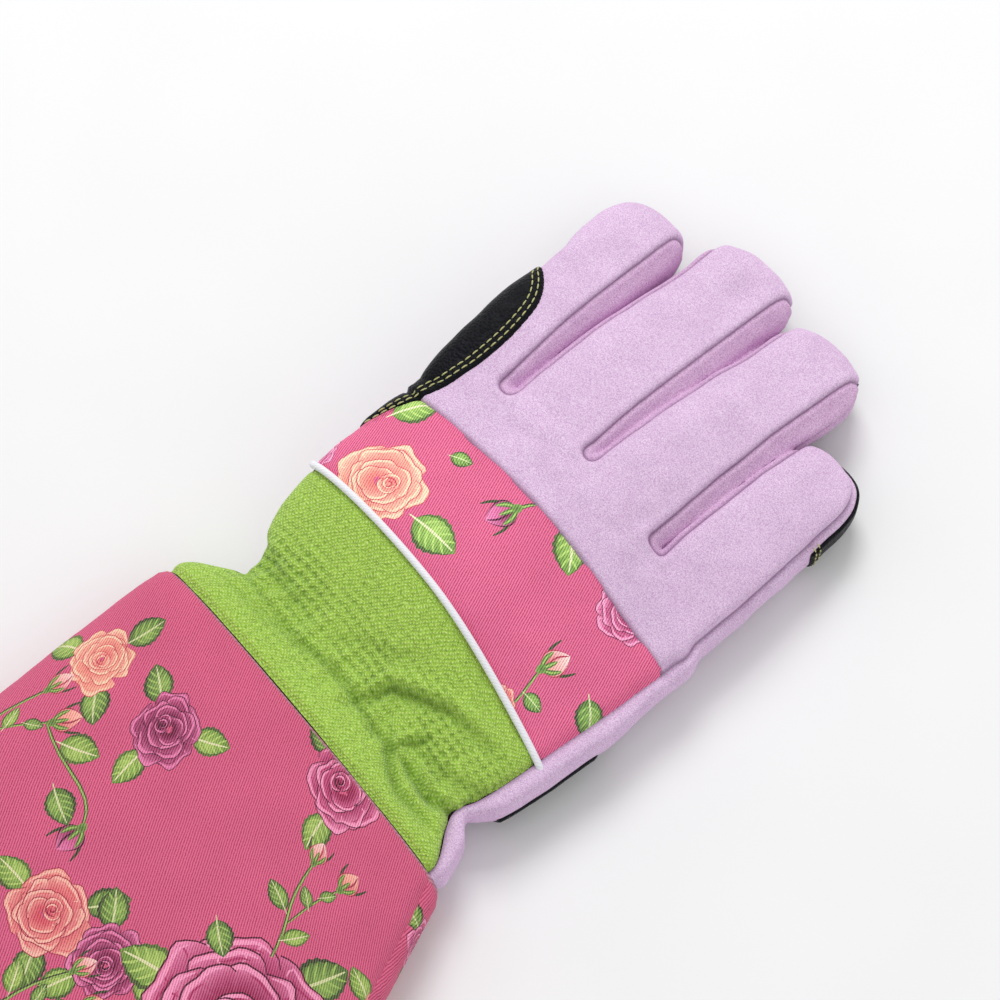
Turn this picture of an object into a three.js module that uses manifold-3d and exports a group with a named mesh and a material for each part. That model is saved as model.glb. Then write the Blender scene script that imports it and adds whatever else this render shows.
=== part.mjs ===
// A right-hand rose pruning gauntlet, lying back up with its thumb folded under the palm.
// Millimetres, +Y to the fingertips, +X to the little finger's side, +Z up.
// The sewn panels are cut from one hollow glove body, so that each meets its neighbour at a seam.
import * as THREE from 'three';
import { mergeVertices } from 'three/addons/utils/BufferGeometryUtils.js';
import Module from 'manifold-3d';

const wasm = await Module();
wasm.setup();

// Walls and clearances
const SUEDE_WALL = 1.8;
const CUFF_WALL = 1.6;
const PATCH_WALL = 1.2;
const SEAM_GAP = 0.3;
const PIPING_WIDTH = 2.8;
const PIPING_PROUD = 0.8;
const HEM_LENGTH = 14;
const HEM_PROUD = 0.7;

// Hand, from the cuff's seam to the webs between the fingers
const CROTCH_FROM_SEAM = 110;
const PALM_WIDTH = 112;
const PALM_THICKNESS = 22;
const MID_HEIGHT = 14;
const PALM_LIFT = 14.5;
const CROTCH_BOW = 6;
const SEAM_SWING = 6.5;
const GATHER_DEPTH = 0.9;
const GATHER_COUNT = 11;

// Fingers and thumb
const FINGER_LENGTH = 110;
const FINGER_WIDTH = 32;
const FINGER_THICKNESS = 19;
const TIP_ROUND = 16;
const TIP_DROOP = 4;
const FOURCHETTE_LAP = 5;
const FOURCHETTE_TUCK = 1.6;
const THUMB_WIDTH = 27;
const THUMB_THICKNESS = 14.5;
const TIP_PATCH_LENGTH = 27;
const PATCH_DROP = 1;

// Gauntlet cuff
const CUFF_LENGTH = 200;
const CUFF_WIDTH = 168;
const CUFF_THICKNESS = 33;
const CUFF_TURN = 11.5;
const REST_SINK = 1.2;

// Counts of facets
const BODY_SIDES = 32;
const FINGER_SIDES = 14;
const TIP_RINGS = 3;
const SLOT_END_SIDES = 12;
const SHORT_EDGE = 0.04;

const { clamp, smoothstep, degToRad, lerp } = THREE.MathUtils;
const FAR = 400;
const halfPalm = PALM_WIDTH / 2;
const halfThick = PALM_THICKNESS / 2;
const halfGap = SEAM_GAP / 2;

// Sections of the wrist and palm. along is a share of CROTCH_FROM_SEAM, left and right of half the
// palm's width, thick of half its thickness, and gather of GATHER_DEPTH.
const BODY_SECTIONS = [
  { along: 0.0, left: 1.125, right: 1.075, thick: 1.27, gather: 0 },
  { along: 0.055, left: 1.07, right: 1.02, thick: 1.17, gather: 0.3 },
  { along: 0.105, left: 0.96, right: 0.93, thick: 1.05, gather: 0.8 },
  { along: 0.155, left: 0.865, right: 0.865, thick: 0.95, gather: 1 },
  { along: 0.2, left: 0.885, right: 0.905, thick: 0.98, gather: 1 },
  { along: 0.273, left: 0.985, right: 0.925, thick: 1.0, gather: 0.7 },
  { along: 0.355, left: 1.03, right: 0.935, thick: 1.0, gather: 0.4 },
  { along: 0.455, left: 1.055, right: 0.945, thick: 1.0, gather: 0 },
  { along: 0.564, left: 1.045, right: 0.955, thick: 1.02, gather: 0 },
  { along: 0.691, left: 1.065, right: 0.965, thick: 1.02, gather: 0 },
  { along: 0.818, left: 1.09, right: 0.965, thick: 1.0, gather: 0 },
  { along: 0.891, left: 1.105, right: 0.955, thick: 0.97, gather: 0 },
];

// Fingers. rootX and tipX are shares of half the palm's width, tip of FINGER_LENGTH past the root
// line, wide and tipWide of FINGER_WIDTH, and thick of FINGER_THICKNESS.
const FINGERS = [
  { name: 'index', rootX: -0.893, tipX: -1.113, tip: 0.886, wide: 0.82, tipWide: 0.84, thick: 1.0 },
  { name: 'middle', rootX: -0.389, tipX: -0.554, tip: 1.032, wide: 1.0, tipWide: 1.0, thick: 1.0 },
  { name: 'ring', rootX: 0.143, tipX: 0.057, tip: 1.018, wide: 0.97, tipWide: 0.97, thick: 0.98 },
  { name: 'little', rootX: 0.705, tipX: 0.589, tip: 0.805, wide: 0.91, tipWide: 0.78, thick: 0.95 },
];
const ROOT_LINE = 0.773;
// How a finger swells along its length: shares of its length, width and thickness.
const FINGER_SWELL = [
  { along: 0.0, wide: 0.7, thick: 0.8 },
  { along: 0.16, wide: 0.94, thick: 1.0 },
  { along: 0.4, wide: 1.0, thick: 1.0 },
  { along: 0.65, wide: 0.99, thick: 0.98 },
];
// Where the slot between two fingers starts, as a share of CROTCH_FROM_SEAM.
const SLOTS = [
  { name: 'fourchette_index_middle', start: 0.945 },
  { name: 'fourchette_middle_ring', start: 0.99 },
  { name: 'fourchette_ring_little', start: 0.985 },
];

// The thumb's middle line. x is a share of half the palm's width, along of CROTCH_FROM_SEAM, rise of
// THUMB_THICKNESS, and wide and thick of the thumb's own width and thickness.
const THUMB_SECTIONS = [
  { x: -0.66, along: 0.455, rise: 2.07, wide: 0.84, thick: 1.3 },
  { x: -0.66, along: 0.509, rise: 1.55, wide: 0.98, thick: 1.3 },
  { x: -0.63, along: 0.573, rise: 1.03, wide: 1.04, thick: 1.2 },
  { x: -0.56, along: 0.664, rise: 0.7, wide: 1.04, thick: 1.06 },
  { x: -0.45, along: 0.782, rise: 0.52, wide: 1.02, thick: 1.0 },
  { x: -0.32, along: 0.891, rise: 0.5, wide: 1.0, thick: 1.0 },
];
const THUMB_TIP = { x: -0.13, along: 1.05, rise: 0.5 };

// Sections of the cuff: shares of its length, its width at the mouth and its thickness.
const CUFF_SECTIONS = [
  { along: 0, wide: 0.732, thick: 0.85 },
  { along: 0.03, wide: 0.752, thick: 0.88 },
  { along: 0.08, wide: 0.785, thick: 0.93 },
  { along: 0.165, wide: 0.82, thick: 0.97 },
  { along: 0.3, wide: 0.865, thick: 1.0 },
  { along: 0.48, wide: 0.915, thick: 0.99 },
  { along: 0.7, wide: 0.96, thick: 0.96 },
  { along: 0.87, wide: 0.985, thick: 0.94 },
  { along: 1, wide: 1, thick: 0.93 },
];

// Outlines seen from above. x is a share of half the palm's width, along of CROTCH_FROM_SEAM.
const WEB_PATCH_EDGE = [
  { x: -1.45, along: 1.282 }, { x: -1.29, along: 1.282 },
  { x: -1.18, along: 1.255 }, { x: -1.06, along: 1.214 },
  { x: -0.97, along: 1.159 }, { x: -0.91, along: 1.082 },
  { x: -0.89, along: 0.982 }, { x: -0.89, along: 0.873 },
  { x: -0.95, along: 0.764 }, { x: -1.04, along: 0.673 },
  { x: -1.16, along: 0.609 }, { x: -1.45, along: 0.564 },
];
const PALM_PATCH_EDGE = [
  { x: 0.36, along: 0.236 }, { x: 0.62, along: 0.209 },
  { x: 0.82, along: 0.255 }, { x: 0.88, along: 0.364 },
  { x: 0.89, along: 0.509 }, { x: 0.87, along: 0.673 },
  { x: 0.77, along: 0.8 }, { x: 0.57, along: 0.855 },
  { x: 0.38, along: 0.8 }, { x: 0.28, along: 0.6 },
  { x: 0.29, along: 0.382 },
];

// Seam lines across the back: where each crosses, as shares of CROTCH_FROM_SEAM at the thumb side,
// the middle and the little finger's side.
const PIPING_LINE = { thumbSide: 0.44, middle: 0.45, littleSide: 0.385 };
const SUEDE_LINE = { thumbSide: 0.755, middle: 0.793, littleSide: 0.796 };

// How far the thumb under the palm lifts the hand at a point of the plan.
function lift(x, y) {
  const alongHand = smoothstep(y, 0.1 * CROTCH_FROM_SEAM, 0.56 * CROTCH_FROM_SEAM);
  const tipEnd = ROOT_LINE * CROTCH_FROM_SEAM + FINGER_LENGTH;
  const toTips = 1 - 0.86 * smoothstep(y, CROTCH_FROM_SEAM, tipEnd);
  const across = 1 - smoothstep(x, -0.12 * halfPalm, 0.9 * halfPalm);
  const droop = TIP_DROOP * smoothstep(y, 1.1 * CROTCH_FROM_SEAM, tipEnd);
  return PALM_LIFT * alongHand * toTips * across - droop;
}

// Height of the side seam between the back and the palm: high at the little finger's side.
function seamHeight(x, y) {
  const swing = clamp(x / halfPalm, -1.3, 1.3) * SEAM_SWING;
  return MID_HEIGHT + lift(x, y) + swing;
}

// A curve across the back through its three stated places.
function seamLine(line, x) {
  const u = clamp(x / halfPalm, -1.2, 1.2);
  const bend = (line.thumbSide + line.littleSide) / 2 - line.middle;
  const slope = (line.littleSide - line.thumbSide) / 2;
  return (line.middle + slope * u + bend * u * u) * CROTCH_FROM_SEAM;
}

function toSolid(geometry) {
  const bare = geometry.clone();
  bare.deleteAttribute('normal');
  bare.deleteAttribute('uv');
  const merged = mergeVertices(bare, 1e-4);
  return new wasm.Manifold(new wasm.Mesh({
    numProp: 3,
    vertProperties: new Float32Array(merged.attributes.position.array),
    triVerts: new Uint32Array(merged.index.array),
  }));
}

function toGeometry(solid) {
  const { vertProperties, triVerts } = solid.getMesh();
  const position = new THREE.BufferAttribute(new Float32Array(vertProperties), 3);
  const geometry = new THREE.BufferGeometry();
  geometry.setAttribute('position', position);
  geometry.setIndex(weldedFaces(position, triVerts));
  geometry.computeVertexNormals();
  return mergeVertices(geometry.deleteAttribute('normal'), 1e-4);
}

// The faces left when corners joined by an edge shorter than SHORT_EDGE become one corner.
function weldedFaces(position, corners) {
  const point = (i) => new THREE.Vector3().fromBufferAttribute(position, i);
  const joined = Array.from({ length: position.count }, (_, i) => i);
  const rootOf = (i) => (joined[i] === i ? i : rootOf(joined[i]));
  for (let i = 0; i < corners.length; i++) {
    const a = rootOf(corners[i]);
    const b = rootOf(corners[i % 3 === 2 ? i - 2 : i + 1]);
    if (a !== b && point(a).distanceTo(point(b)) < SHORT_EDGE) joined[b] = a;
  }
  const faces = [];
  for (let i = 0; i < corners.length; i += 3) {
    const [a, b, c] = [rootOf(corners[i]), rootOf(corners[i + 1]), rootOf(corners[i + 2])];
    if (a !== b && b !== c && c !== a) faces.push(a, b, c);
  }
  return faces;
}

// A solid through rings of equal, even length. Each end is closed by strips from the lower half of
// its ring to the upper half.
function loft(rings) {
  const sides = rings[0].length;
  const faces = [];
  const quad = (a, b, c, d) => faces.push(a, b, c, a, c, d);
  for (let r = 0; r + 1 < rings.length; r++) {
    for (let i = 0; i < sides; i++) {
      const a = r * sides + i;
      const b = r * sides + ((i + 1) % sides);
      quad(a, b, b + sides, a + sides);
    }
  }
  const last = (rings.length - 1) * sides;
  for (let i = 0; i + 1 < sides / 2; i++) {
    const [upper, next] = [sides - 1 - i, sides - 2 - i];
    quad(upper, next, i + 1, i);
    quad(last + i, last + i + 1, last + next, last + upper);
  }
  const geometry = new THREE.BufferGeometry().setFromPoints(rings.flat());
  geometry.setIndex(faces);
  return toSolid(geometry);
}

// One section: a superellipse of half sizes a, top and bottom in the plane of across and up.
function ring({ centre, across, up, a, top, bottom, power, ripple = () => 0 }, offset, sides) {
  const points = [];
  for (let i = 0; i < sides; i++) {
    const angle = -(2 * Math.PI * (i + 0.5)) / sides;
    const c = Math.cos(angle);
    const s = Math.sin(angle);
    const grow = offset + ripple(angle);
    const u = Math.sign(c) * Math.abs(c) ** (2 / power) * (a + grow);
    const v = Math.sign(s) * Math.abs(s) ** (2 / power) * ((s > 0 ? top : bottom) + grow);
    points.push(centre.clone().addScaledVector(across, u).addScaledVector(up, v));
  }
  return points;
}

const X_AXIS = new THREE.Vector3(1, 0, 0);
const Y_AXIS = new THREE.Vector3(0, 1, 0);
const Z_AXIS = new THREE.Vector3(0, 0, 1);

// The wrist and palm, grown by offset. reach lengthens the wrist end, to cut an opening.
function palmBody(offset, reach = 0) {
  const rings = BODY_SECTIONS.map((s, i) => {
    const b = s.thick * halfThick;
    const ripple = (angle) => s.gather * GATHER_DEPTH * Math.cos(GATHER_COUNT * angle);
    return ring({
      centre: new THREE.Vector3(((s.right - s.left) / 2) * halfPalm,
        s.along * CROTCH_FROM_SEAM - (i === 0 ? reach : 0), MID_HEIGHT),
      across: X_AXIS, up: Z_AXIS, a: ((s.right + s.left) / 2) * halfPalm, top: b, bottom: b,
      power: 2.9, ripple,
    }, offset, BODY_SIDES);
  });
  const last = BODY_SECTIONS[BODY_SECTIONS.length - 1];
  const start = last.along * CROTCH_FROM_SEAM;
  const depth = CROTCH_FROM_SEAM - start + offset;
  const middle = ((last.right - last.left) / 2) * halfPalm;
  const wide = ((last.right + last.left) / 2) * halfPalm;
  for (let k = 1; k <= TIP_RINGS; k++) {
    const t = Math.sin((k / (TIP_RINGS + 0.5)) * (Math.PI / 2));
    const b = (last.thick * halfThick + offset) * Math.sqrt(1 - t * t) - offset;
    const front = ring({
      centre: new THREE.Vector3(middle, start + t * depth, MID_HEIGHT), across: X_AXIS, up: Z_AXIS,
      a: wide, top: b, bottom: b, power: 2.9,
    }, offset, BODY_SIDES);
    const bowed = (p) => p.setY(p.y - t * CROTCH_BOW * ((p.x - middle) / (wide + offset)) ** 2);
    rings.push(front.map(bowed));
  }
  return loft(rings.map(lifted));
}

function lifted(points) {
  return points.map((p) => new THREE.Vector3(p.x, p.y, p.z + lift(p.x, p.y)));
}

// A finger's straight middle line in plan, with its real sizes.
function fingerLine(finger) {
  const root = new THREE.Vector3(finger.rootX * halfPalm, ROOT_LINE * CROTCH_FROM_SEAM, MID_HEIGHT);
  const tip = new THREE.Vector3(finger.tipX * halfPalm, root.y + finger.tip * FINGER_LENGTH, MID_HEIGHT);
  const along = tip.clone().sub(root);
  const length = along.length();
  along.normalize();
  return {
    root, along, length, across: new THREE.Vector3().crossVectors(along, Z_AXIS),
    halfWidth: (t) => (lerp(finger.wide, finger.tipWide, t) * FINGER_WIDTH) / 2,
    b: (finger.thick * FINGER_THICKNESS) / 2,
  };
}

function fingerBody(finger, offset) {
  const { root, along, length, across, halfWidth, b } = fingerLine(finger);
  const at = (distance) => root.clone().addScaledVector(along, distance);
  const rings = FINGER_SWELL.map((s) => ring({
    centre: at(s.along * length), across, up: Z_AXIS, a: halfWidth(s.along) * s.wide,
    top: b * s.thick, bottom: b * s.thick, power: 3,
  }, offset, FINGER_SIDES));
  const last = FINGER_SWELL[FINGER_SWELL.length - 1];
  const start = length - TIP_ROUND;
  for (let k = 0; k <= TIP_RINGS; k++) {
    const t = Math.sin((k / (TIP_RINGS + 0.35)) * (Math.PI / 2));
    const wide = (1 - t ** 2.3) ** (1 / 2.3);
    const thick = (1 - t ** 2.8) ** (1 / 2.8);
    rings.push(ring({
      centre: at(start + t * (TIP_ROUND + offset)), across, up: Z_AXIS,
      a: (halfWidth(1) * last.wide * 0.98 + offset) * wide - offset,
      top: (b * 0.94 + offset) * thick - offset, bottom: (b * 0.94 + offset) * thick - offset,
      power: 2.8,
    }, offset, FINGER_SIDES));
  }
  return loft(rings.map((points) => rested(lifted(points), offset, PATCH_WALL + SEAM_GAP)));
}

// The thumb, flat where it lies on the surface.
function thumbBody(offset) {
  const place = (s) => new THREE.Vector3(s.x * halfPalm, s.along * CROTCH_FROM_SEAM, s.rise * THUMB_THICKNESS);
  const line = new THREE.CatmullRomCurve3([...THUMB_SECTIONS, THUMB_TIP].map(place));
  const points = [...THUMB_SECTIONS, THUMB_TIP].map(place);
  const directionAt = (i) => {
    const before = points[Math.max(i - 1, 0)];
    const after = points[Math.min(i + 1, points.length - 1)];
    return after.clone().sub(before).normalize();
  };
  const sectionRing = (centre, direction, a, b, power) => {
    const across = new THREE.Vector3().crossVectors(direction, Z_AXIS).normalize();
    const up = new THREE.Vector3().crossVectors(across, direction);
    return ring({ centre, across, up, a, top: b, bottom: b, power }, offset, FINGER_SIDES);
  };
  const rings = THUMB_SECTIONS.map((s, i) => sectionRing(points[i], directionAt(i),
    (s.wide * THUMB_WIDTH) / 2, (s.thick * THUMB_THICKNESS) / 2 + (i > 2 ? REST_SINK : 0), 2.5));
  const tip = points[points.length - 1];
  const direction = tip.clone().sub(points[points.length - 2]).normalize();
  const start = tip.clone().addScaledVector(direction, -TIP_ROUND);
  for (let k = 0; k <= TIP_RINGS; k++) {
    const t = Math.sin((k / (TIP_RINGS + 0.35)) * (Math.PI / 2));
    const wide = (1 - t ** 2.3) ** (1 / 2.3);
    const thick = (1 - t ** 2.8) ** (1 / 2.8);
    rings.push(sectionRing(start.clone().addScaledVector(direction, t * (TIP_ROUND + offset)), direction,
      (0.49 * THUMB_WIDTH + offset) * wide - offset,
      (THUMB_THICKNESS / 2 + REST_SINK + offset) * thick - offset, 2.5));
  }
  return loft(rings.map((points) => rested(points, offset)));
}

// Cloth that rests is flat: no point is lower than a level, less the offset of this skin.
function rested(points, offset, level = 0) {
  return points.map((p) => new THREE.Vector3(p.x, p.y, Math.max(p.z, level - offset)));
}

// The cuff's sections, with its middle line turning to the little finger's side.
function cuffBody(offset, fromShare = 0, toShare = 1, reachStart = 0, reachEnd = 0) {
  const turn = degToRad(CUFF_TURN);
  const first = BODY_SECTIONS[0];
  const startX = ((first.right - first.left) / 2) * halfPalm;
  const at = (share) => ({
    x: startX + Math.sin(turn) * share * CUFF_LENGTH,
    y: -Math.cos(turn) * share * CUFF_LENGTH,
    bend: turn * smoothstep(share, 0, 0.35),
  });
  const between = CUFF_SECTIONS.filter((s) => s.along > fromShare && s.along < toShare);
  const rows = [sectionAt(fromShare), ...between, sectionAt(toShare)];
  const rings = rows.map((s, i) => {
    const { x, y, bend } = at(s.along);
    const stretch = (i === 0 ? reachStart : 0) - (i === rows.length - 1 ? reachEnd : 0);
    const along = new THREE.Vector3(Math.sin(bend), -Math.cos(bend), 0);
    const half = (s.thick * CUFF_THICKNESS) / 2;
    const centre = new THREE.Vector3(x, y, half).addScaledVector(along, -stretch);
    return rested(ring({
      centre, across: new THREE.Vector3(Math.cos(bend), Math.sin(bend), 0), up: Z_AXIS,
      a: (s.wide * CUFF_WIDTH) / 2, top: half, bottom: half + REST_SINK, power: 2.5,
    }, offset, BODY_SIDES), offset, Math.max(offset, 0));
  });
  return loft(rings.reverse());
}

// The cuff's section at any share of its length, between the rows of the table.
function sectionAt(share) {
  const after = CUFF_SECTIONS.findIndex((s) => s.along >= share);
  if (after <= 0) return CUFF_SECTIONS[0];
  const [low, high] = [CUFF_SECTIONS[after - 1], CUFF_SECTIONS[after]];
  const t = (share - low.along) / (high.along - low.along);
  return { along: share, wide: lerp(low.wide, high.wide, t), thick: lerp(low.thick, high.thick, t) };
}

function handBody(offset, reach = 0) {
  return FINGERS.reduce((body, finger) => body.add(fingerBody(finger, offset)), palmBody(offset, reach));
}

// An upright prism over a plan outline of [x, y] points.
function prism(outline) {
  const shape = new THREE.Shape(outline.map(([x, y]) => new THREE.Vector2(x, y)));
  const geometry = new THREE.ExtrudeGeometry(shape, { depth: FAR, bevelEnabled: false });
  geometry.translate(0, 0, -FAR / 2);
  return toSolid(geometry);
}

// The plan between two curves across the back.
function strip(low, high) {
  const steps = 14;
  const xs = Array.from({ length: steps + 1 }, (_, i) => -1.6 * PALM_WIDTH + (i * 3.2 * PALM_WIDTH) / steps);
  return prism([...xs.map((x) => [x, low(x)]), ...xs.reverse().map((x) => [x, high(x)])]);
}

// Everything above, or below, a height that varies over the plan.
function blanket(height, above) {
  const step = PALM_WIDTH / 6;
  const [columns, rows] = [22, 27];
  const x0 = -1.8 * PALM_WIDTH;
  const y0 = -CUFF_LENGTH - 3 * step;
  const points = [];
  for (const layer of [0, 1]) {
    for (let j = 0; j <= rows; j++) {
      for (let i = 0; i <= columns; i++) {
        const x = x0 + i * step;
        const y = y0 + j * step;
        points.push(new THREE.Vector3(x, y, layer === (above ? 1 : 0) ? (above ? FAR : -FAR) : height(x, y)));
      }
    }
  }
  const faces = [];
  const index = (layer, i, j) => layer * (columns + 1) * (rows + 1) + j * (columns + 1) + i;
  const quad = (a, b, c, d) => faces.push(a, b, c, a, c, d);
  for (let j = 0; j < rows; j++) {
    for (let i = 0; i < columns; i++) {
      quad(index(0, i, j), index(0, i, j + 1), index(0, i + 1, j + 1), index(0, i + 1, j));
      quad(index(1, i, j), index(1, i + 1, j), index(1, i + 1, j + 1), index(1, i, j + 1));
    }
  }
  for (let i = 0; i < columns; i++) {
    quad(index(0, i, 0), index(0, i + 1, 0), index(1, i + 1, 0), index(1, i, 0));
    quad(index(0, i + 1, rows), index(0, i, rows), index(1, i, rows), index(1, i + 1, rows));
  }
  for (let j = 0; j < rows; j++) {
    quad(index(0, 0, j + 1), index(0, 0, j), index(1, 0, j), index(1, 0, j + 1));
    quad(index(0, columns, j), index(0, columns, j + 1), index(1, columns, j + 1), index(1, columns, j));
  }
  const geometry = new THREE.BufferGeometry().setFromPoints(points);
  geometry.setIndex(faces);
  return toSolid(geometry);
}

// The plan beside a finger where its side wall is a fourchette. side is 1 for the little finger's
// side and -1 for the thumb side, and grow widens it, to cut its neighbours clear.
function fingerSide(finger, side, startAlong, grow) {
  const { root, along, length, across, halfWidth } = fingerLine(finger);
  const from = startAlong * CROTCH_FROM_SEAM - root.y;
  const to = length - TIP_ROUND * 0.3 + grow;
  const lap = lapOf(side) + grow;
  const corner = (distance, out) => {
    const p = root.clone().addScaledVector(along, distance).addScaledVector(across, side * out);
    return [p.x, p.y];
  };
  const reach = halfWidth(0.5) + FOURCHETTE_TUCK;
  const outline = [
    corner(from, halfWidth(0.2) * 0.97 - lap), corner(length * 0.5, halfWidth(0.5) - lap),
    corner(to, halfWidth(1) * 0.96 - lap), corner(to, reach), corner(from, reach),
  ];
  return prism(side > 0 ? outline : outline.reverse());
}

// The top face's edge lies further in on a finger's little-finger side than on its thumb side.
function lapOf(side) {
  return side > 0 ? FOURCHETTE_LAP : FOURCHETTE_TUCK;
}

// The plan of one fourchette: both walls of the slot and the round end between them.
function slotPlan(index, grow) {
  const { start } = SLOTS[index];
  const edge = (finger, side) => {
    const { root, along, across, halfWidth } = fingerLine(finger);
    const distance = start * CROTCH_FROM_SEAM - root.y;
    const out = halfWidth(0.2) * 0.97 - lapOf(side);
    return root.clone().addScaledVector(along, distance).addScaledVector(across, side * out);
  };
  const [left, right] = [FINGERS[index], FINGERS[index + 1]];
  const [from, to] = [edge(left, 1), edge(right, -1)];
  const centre = from.clone().add(to).multiplyScalar(0.5);
  const radius = from.distanceTo(to) / 2 + grow;
  const round = Array.from({ length: SLOT_END_SIDES }, (_, i) => {
    const angle = (2 * Math.PI * (i + 0.5)) / SLOT_END_SIDES;
    return [centre.x + radius * Math.cos(angle), centre.y + radius * Math.sin(angle)];
  });
  return fingerSide(left, 1, start, grow).add(fingerSide(right, -1, start, grow)).add(prism(round));
}

function planOutline(edge) {
  return edge.map((p) => [p.x * halfPalm, p.along * CROTCH_FROM_SEAM]);
}

// The plan of a finger's black tip patch, clear of the fourchettes beside it.
function tipPatchPlan(finger, openLeft, openRight) {
  const { root, along, length, across, halfWidth } = fingerLine(finger);
  const open = halfWidth(1) * 1.5;
  const left = openLeft ? -open : FOURCHETTE_TUCK + SEAM_GAP - halfWidth(1);
  const right = openRight ? open : halfWidth(1) - FOURCHETTE_LAP - SEAM_GAP;
  const corner = (distance, out) => {
    const p = root.clone().addScaledVector(along, distance).addScaledVector(across, out);
    return [p.x, p.y];
  };
  const from = length - TIP_PATCH_LENGTH;
  const to = length + TIP_ROUND;
  return prism([corner(from, right), corner(to, right), corner(to, left), corner(from, left)]);
}

const outer = handBody(0);
const inner = handBody(-SUEDE_WALL, FAR / 8);
const shell = outer.subtract(inner);
const aboveSeam = blanket((x, y) => seamHeight(x, y) + halfGap, true);
const belowSeam = blanket((x, y) => seamHeight(x, y) - halfGap, false);
const belowPatchEdge = blanket((x, y) => MID_HEIGHT + lift(x, y) - PATCH_DROP, false);
const slots = SLOTS.map((_, i) => slotPlan(i, 0));
const slotCuts = SLOTS.map((_, i) => slotPlan(i, SEAM_GAP)).reduce((all, cut) => all.add(cut));
const backShell = shell.intersect(aboveSeam);
const pipingAt = (x) => seamLine(PIPING_LINE, x);
const suedeAt = (x) => seamLine(SUEDE_LINE, x);
const halfPiping = PIPING_WIDTH / 2;

function wristBand() {
  return backShell.intersect(strip(() => halfGap, (x) => pipingAt(x) - halfPiping - SEAM_GAP));
}

function piping() {
  const proud = handBody(PIPING_PROUD).subtract(inner);
  return proud.intersect(aboveSeam).intersect(strip((x) => pipingAt(x) - halfPiping, (x) => pipingAt(x) + halfPiping));
}

function backPanel() {
  return backShell.intersect(strip((x) => pipingAt(x) + halfPiping + SEAM_GAP, (x) => suedeAt(x) - halfGap));
}

function backSuede() {
  return backShell.intersect(strip((x) => suedeAt(x) + halfGap, () => FAR)).subtract(slotCuts);
}

function palmSuede() {
  const palm = shell.intersect(belowSeam).intersect(strip(() => halfGap, () => FAR));
  return palm.subtract(slotCuts).subtract(thumbBody(-SUEDE_WALL));
}

function thumb() {
  const tube = thumbBody(0).subtract(thumbBody(-SUEDE_WALL));
  return tube.subtract(handBody(SEAM_GAP));
}

const patchSkin = handBody(SEAM_GAP + PATCH_WALL).subtract(handBody(SEAM_GAP));

function webPatch() {
  const side = blanket((x, y) => MID_HEIGHT + lift(x, y) - 0.55 * halfThick, true);
  return patchSkin.intersect(prism(planOutline(WEB_PATCH_EDGE))).intersect(side)
    .subtract(thumbBody(SEAM_GAP));
}

function palmPatch() {
  const under = blanket((x, y) => MID_HEIGHT + lift(x, y) - 0.3 * halfThick, false);
  return patchSkin.intersect(prism(planOutline(PALM_PATCH_EDGE))).intersect(under);
}

function tipPatch(finger) {
  const skin = fingerBody(finger, SEAM_GAP + PATCH_WALL).subtract(fingerBody(finger, SEAM_GAP));
  const plan = tipPatchPlan(finger, finger.name === 'index', finger.name === 'little');
  return skin.intersect(plan).intersect(belowPatchEdge);
}

function cuffShell() {
  const hemShare = 1 - HEM_LENGTH / CUFF_LENGTH;
  const hem = cuffBody(HEM_PROUD, hemShare, 1);
  return cuffBody(0).add(hem).subtract(cuffBody(-CUFF_WALL, 0, 1, FAR / 8, FAR / 8));
}

const suede = new THREE.MeshStandardMaterial({ color: 0xcfa6d0, roughness: 0.95, metalness: 0 });
const suedeDark = new THREE.MeshStandardMaterial({ color: 0xc795c4, roughness: 0.95, metalness: 0 });
const blackLeather = new THREE.MeshStandardMaterial({ color: 0x14141a, roughness: 0.6, metalness: 0 });
const floralTwill = new THREE.MeshStandardMaterial({ color: 0xc0406f, roughness: 0.9, metalness: 0 });
const greenKnit = new THREE.MeshStandardMaterial({ color: 0x7fb32e, roughness: 0.95, metalness: 0 });
const whitePiping = new THREE.MeshStandardMaterial({ color: 0xeef0f4, roughness: 0.7, metalness: 0 });

const gauntlet = new THREE.Group();

// A cut can leave crumbs beside the piece: only its largest body is kept.
function addPiece(name, solid, material) {
  const [body] = solid.decompose().sort((a, b) => b.volume() - a.volume());
  const mesh = new THREE.Mesh(toGeometry(body), material);
  mesh.name = name;
  gauntlet.add(mesh);
}

const cuff = cuffShell().intersect(strip(() => -FAR, () => -halfGap));
addPiece('cuff_back', cuff.intersect(aboveSeam), floralTwill);
addPiece('cuff_palm', cuff.intersect(belowSeam), floralTwill);
addPiece('wrist_band', wristBand(), greenKnit);
addPiece('piping', piping(), whitePiping);
addPiece('back_panel', backPanel(), floralTwill);
addPiece('back_suede', backSuede(), suede);
addPiece('palm_suede', palmSuede(), suede);
addPiece('thumb', thumb(), suede);
SLOTS.forEach((slot, i) => addPiece(slot.name, shell.intersect(slots[i]), suedeDark));
addPiece('web_patch', webPatch(), blackLeather);
addPiece('palm_patch', palmPatch(), blackLeather);
FINGERS.forEach((finger) => addPiece(`${finger.name}_tip_patch`, tipPatch(finger), blackLeather));

// The origin is the middle of the lowest level that the gauntlet reaches.
const bounds = new THREE.Box3().setFromObject(gauntlet);
const middle = bounds.getCenter(new THREE.Vector3());
gauntlet.position.set(-middle.x, -middle.y, -bounds.min.z);

export default gauntlet;
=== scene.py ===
# The rose pruning gauntlet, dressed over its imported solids.
# Lengths are in millimetres in the part's own working frame until a mesh is made: x to the little
# finger, y to the fingertips with 0 at the cuff's seam, z up from the floor.
import math

import bpy
import numpy as np
from mathutils import Matrix, Vector
from mathutils.geometry import delaunay_2d_cdt


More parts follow.
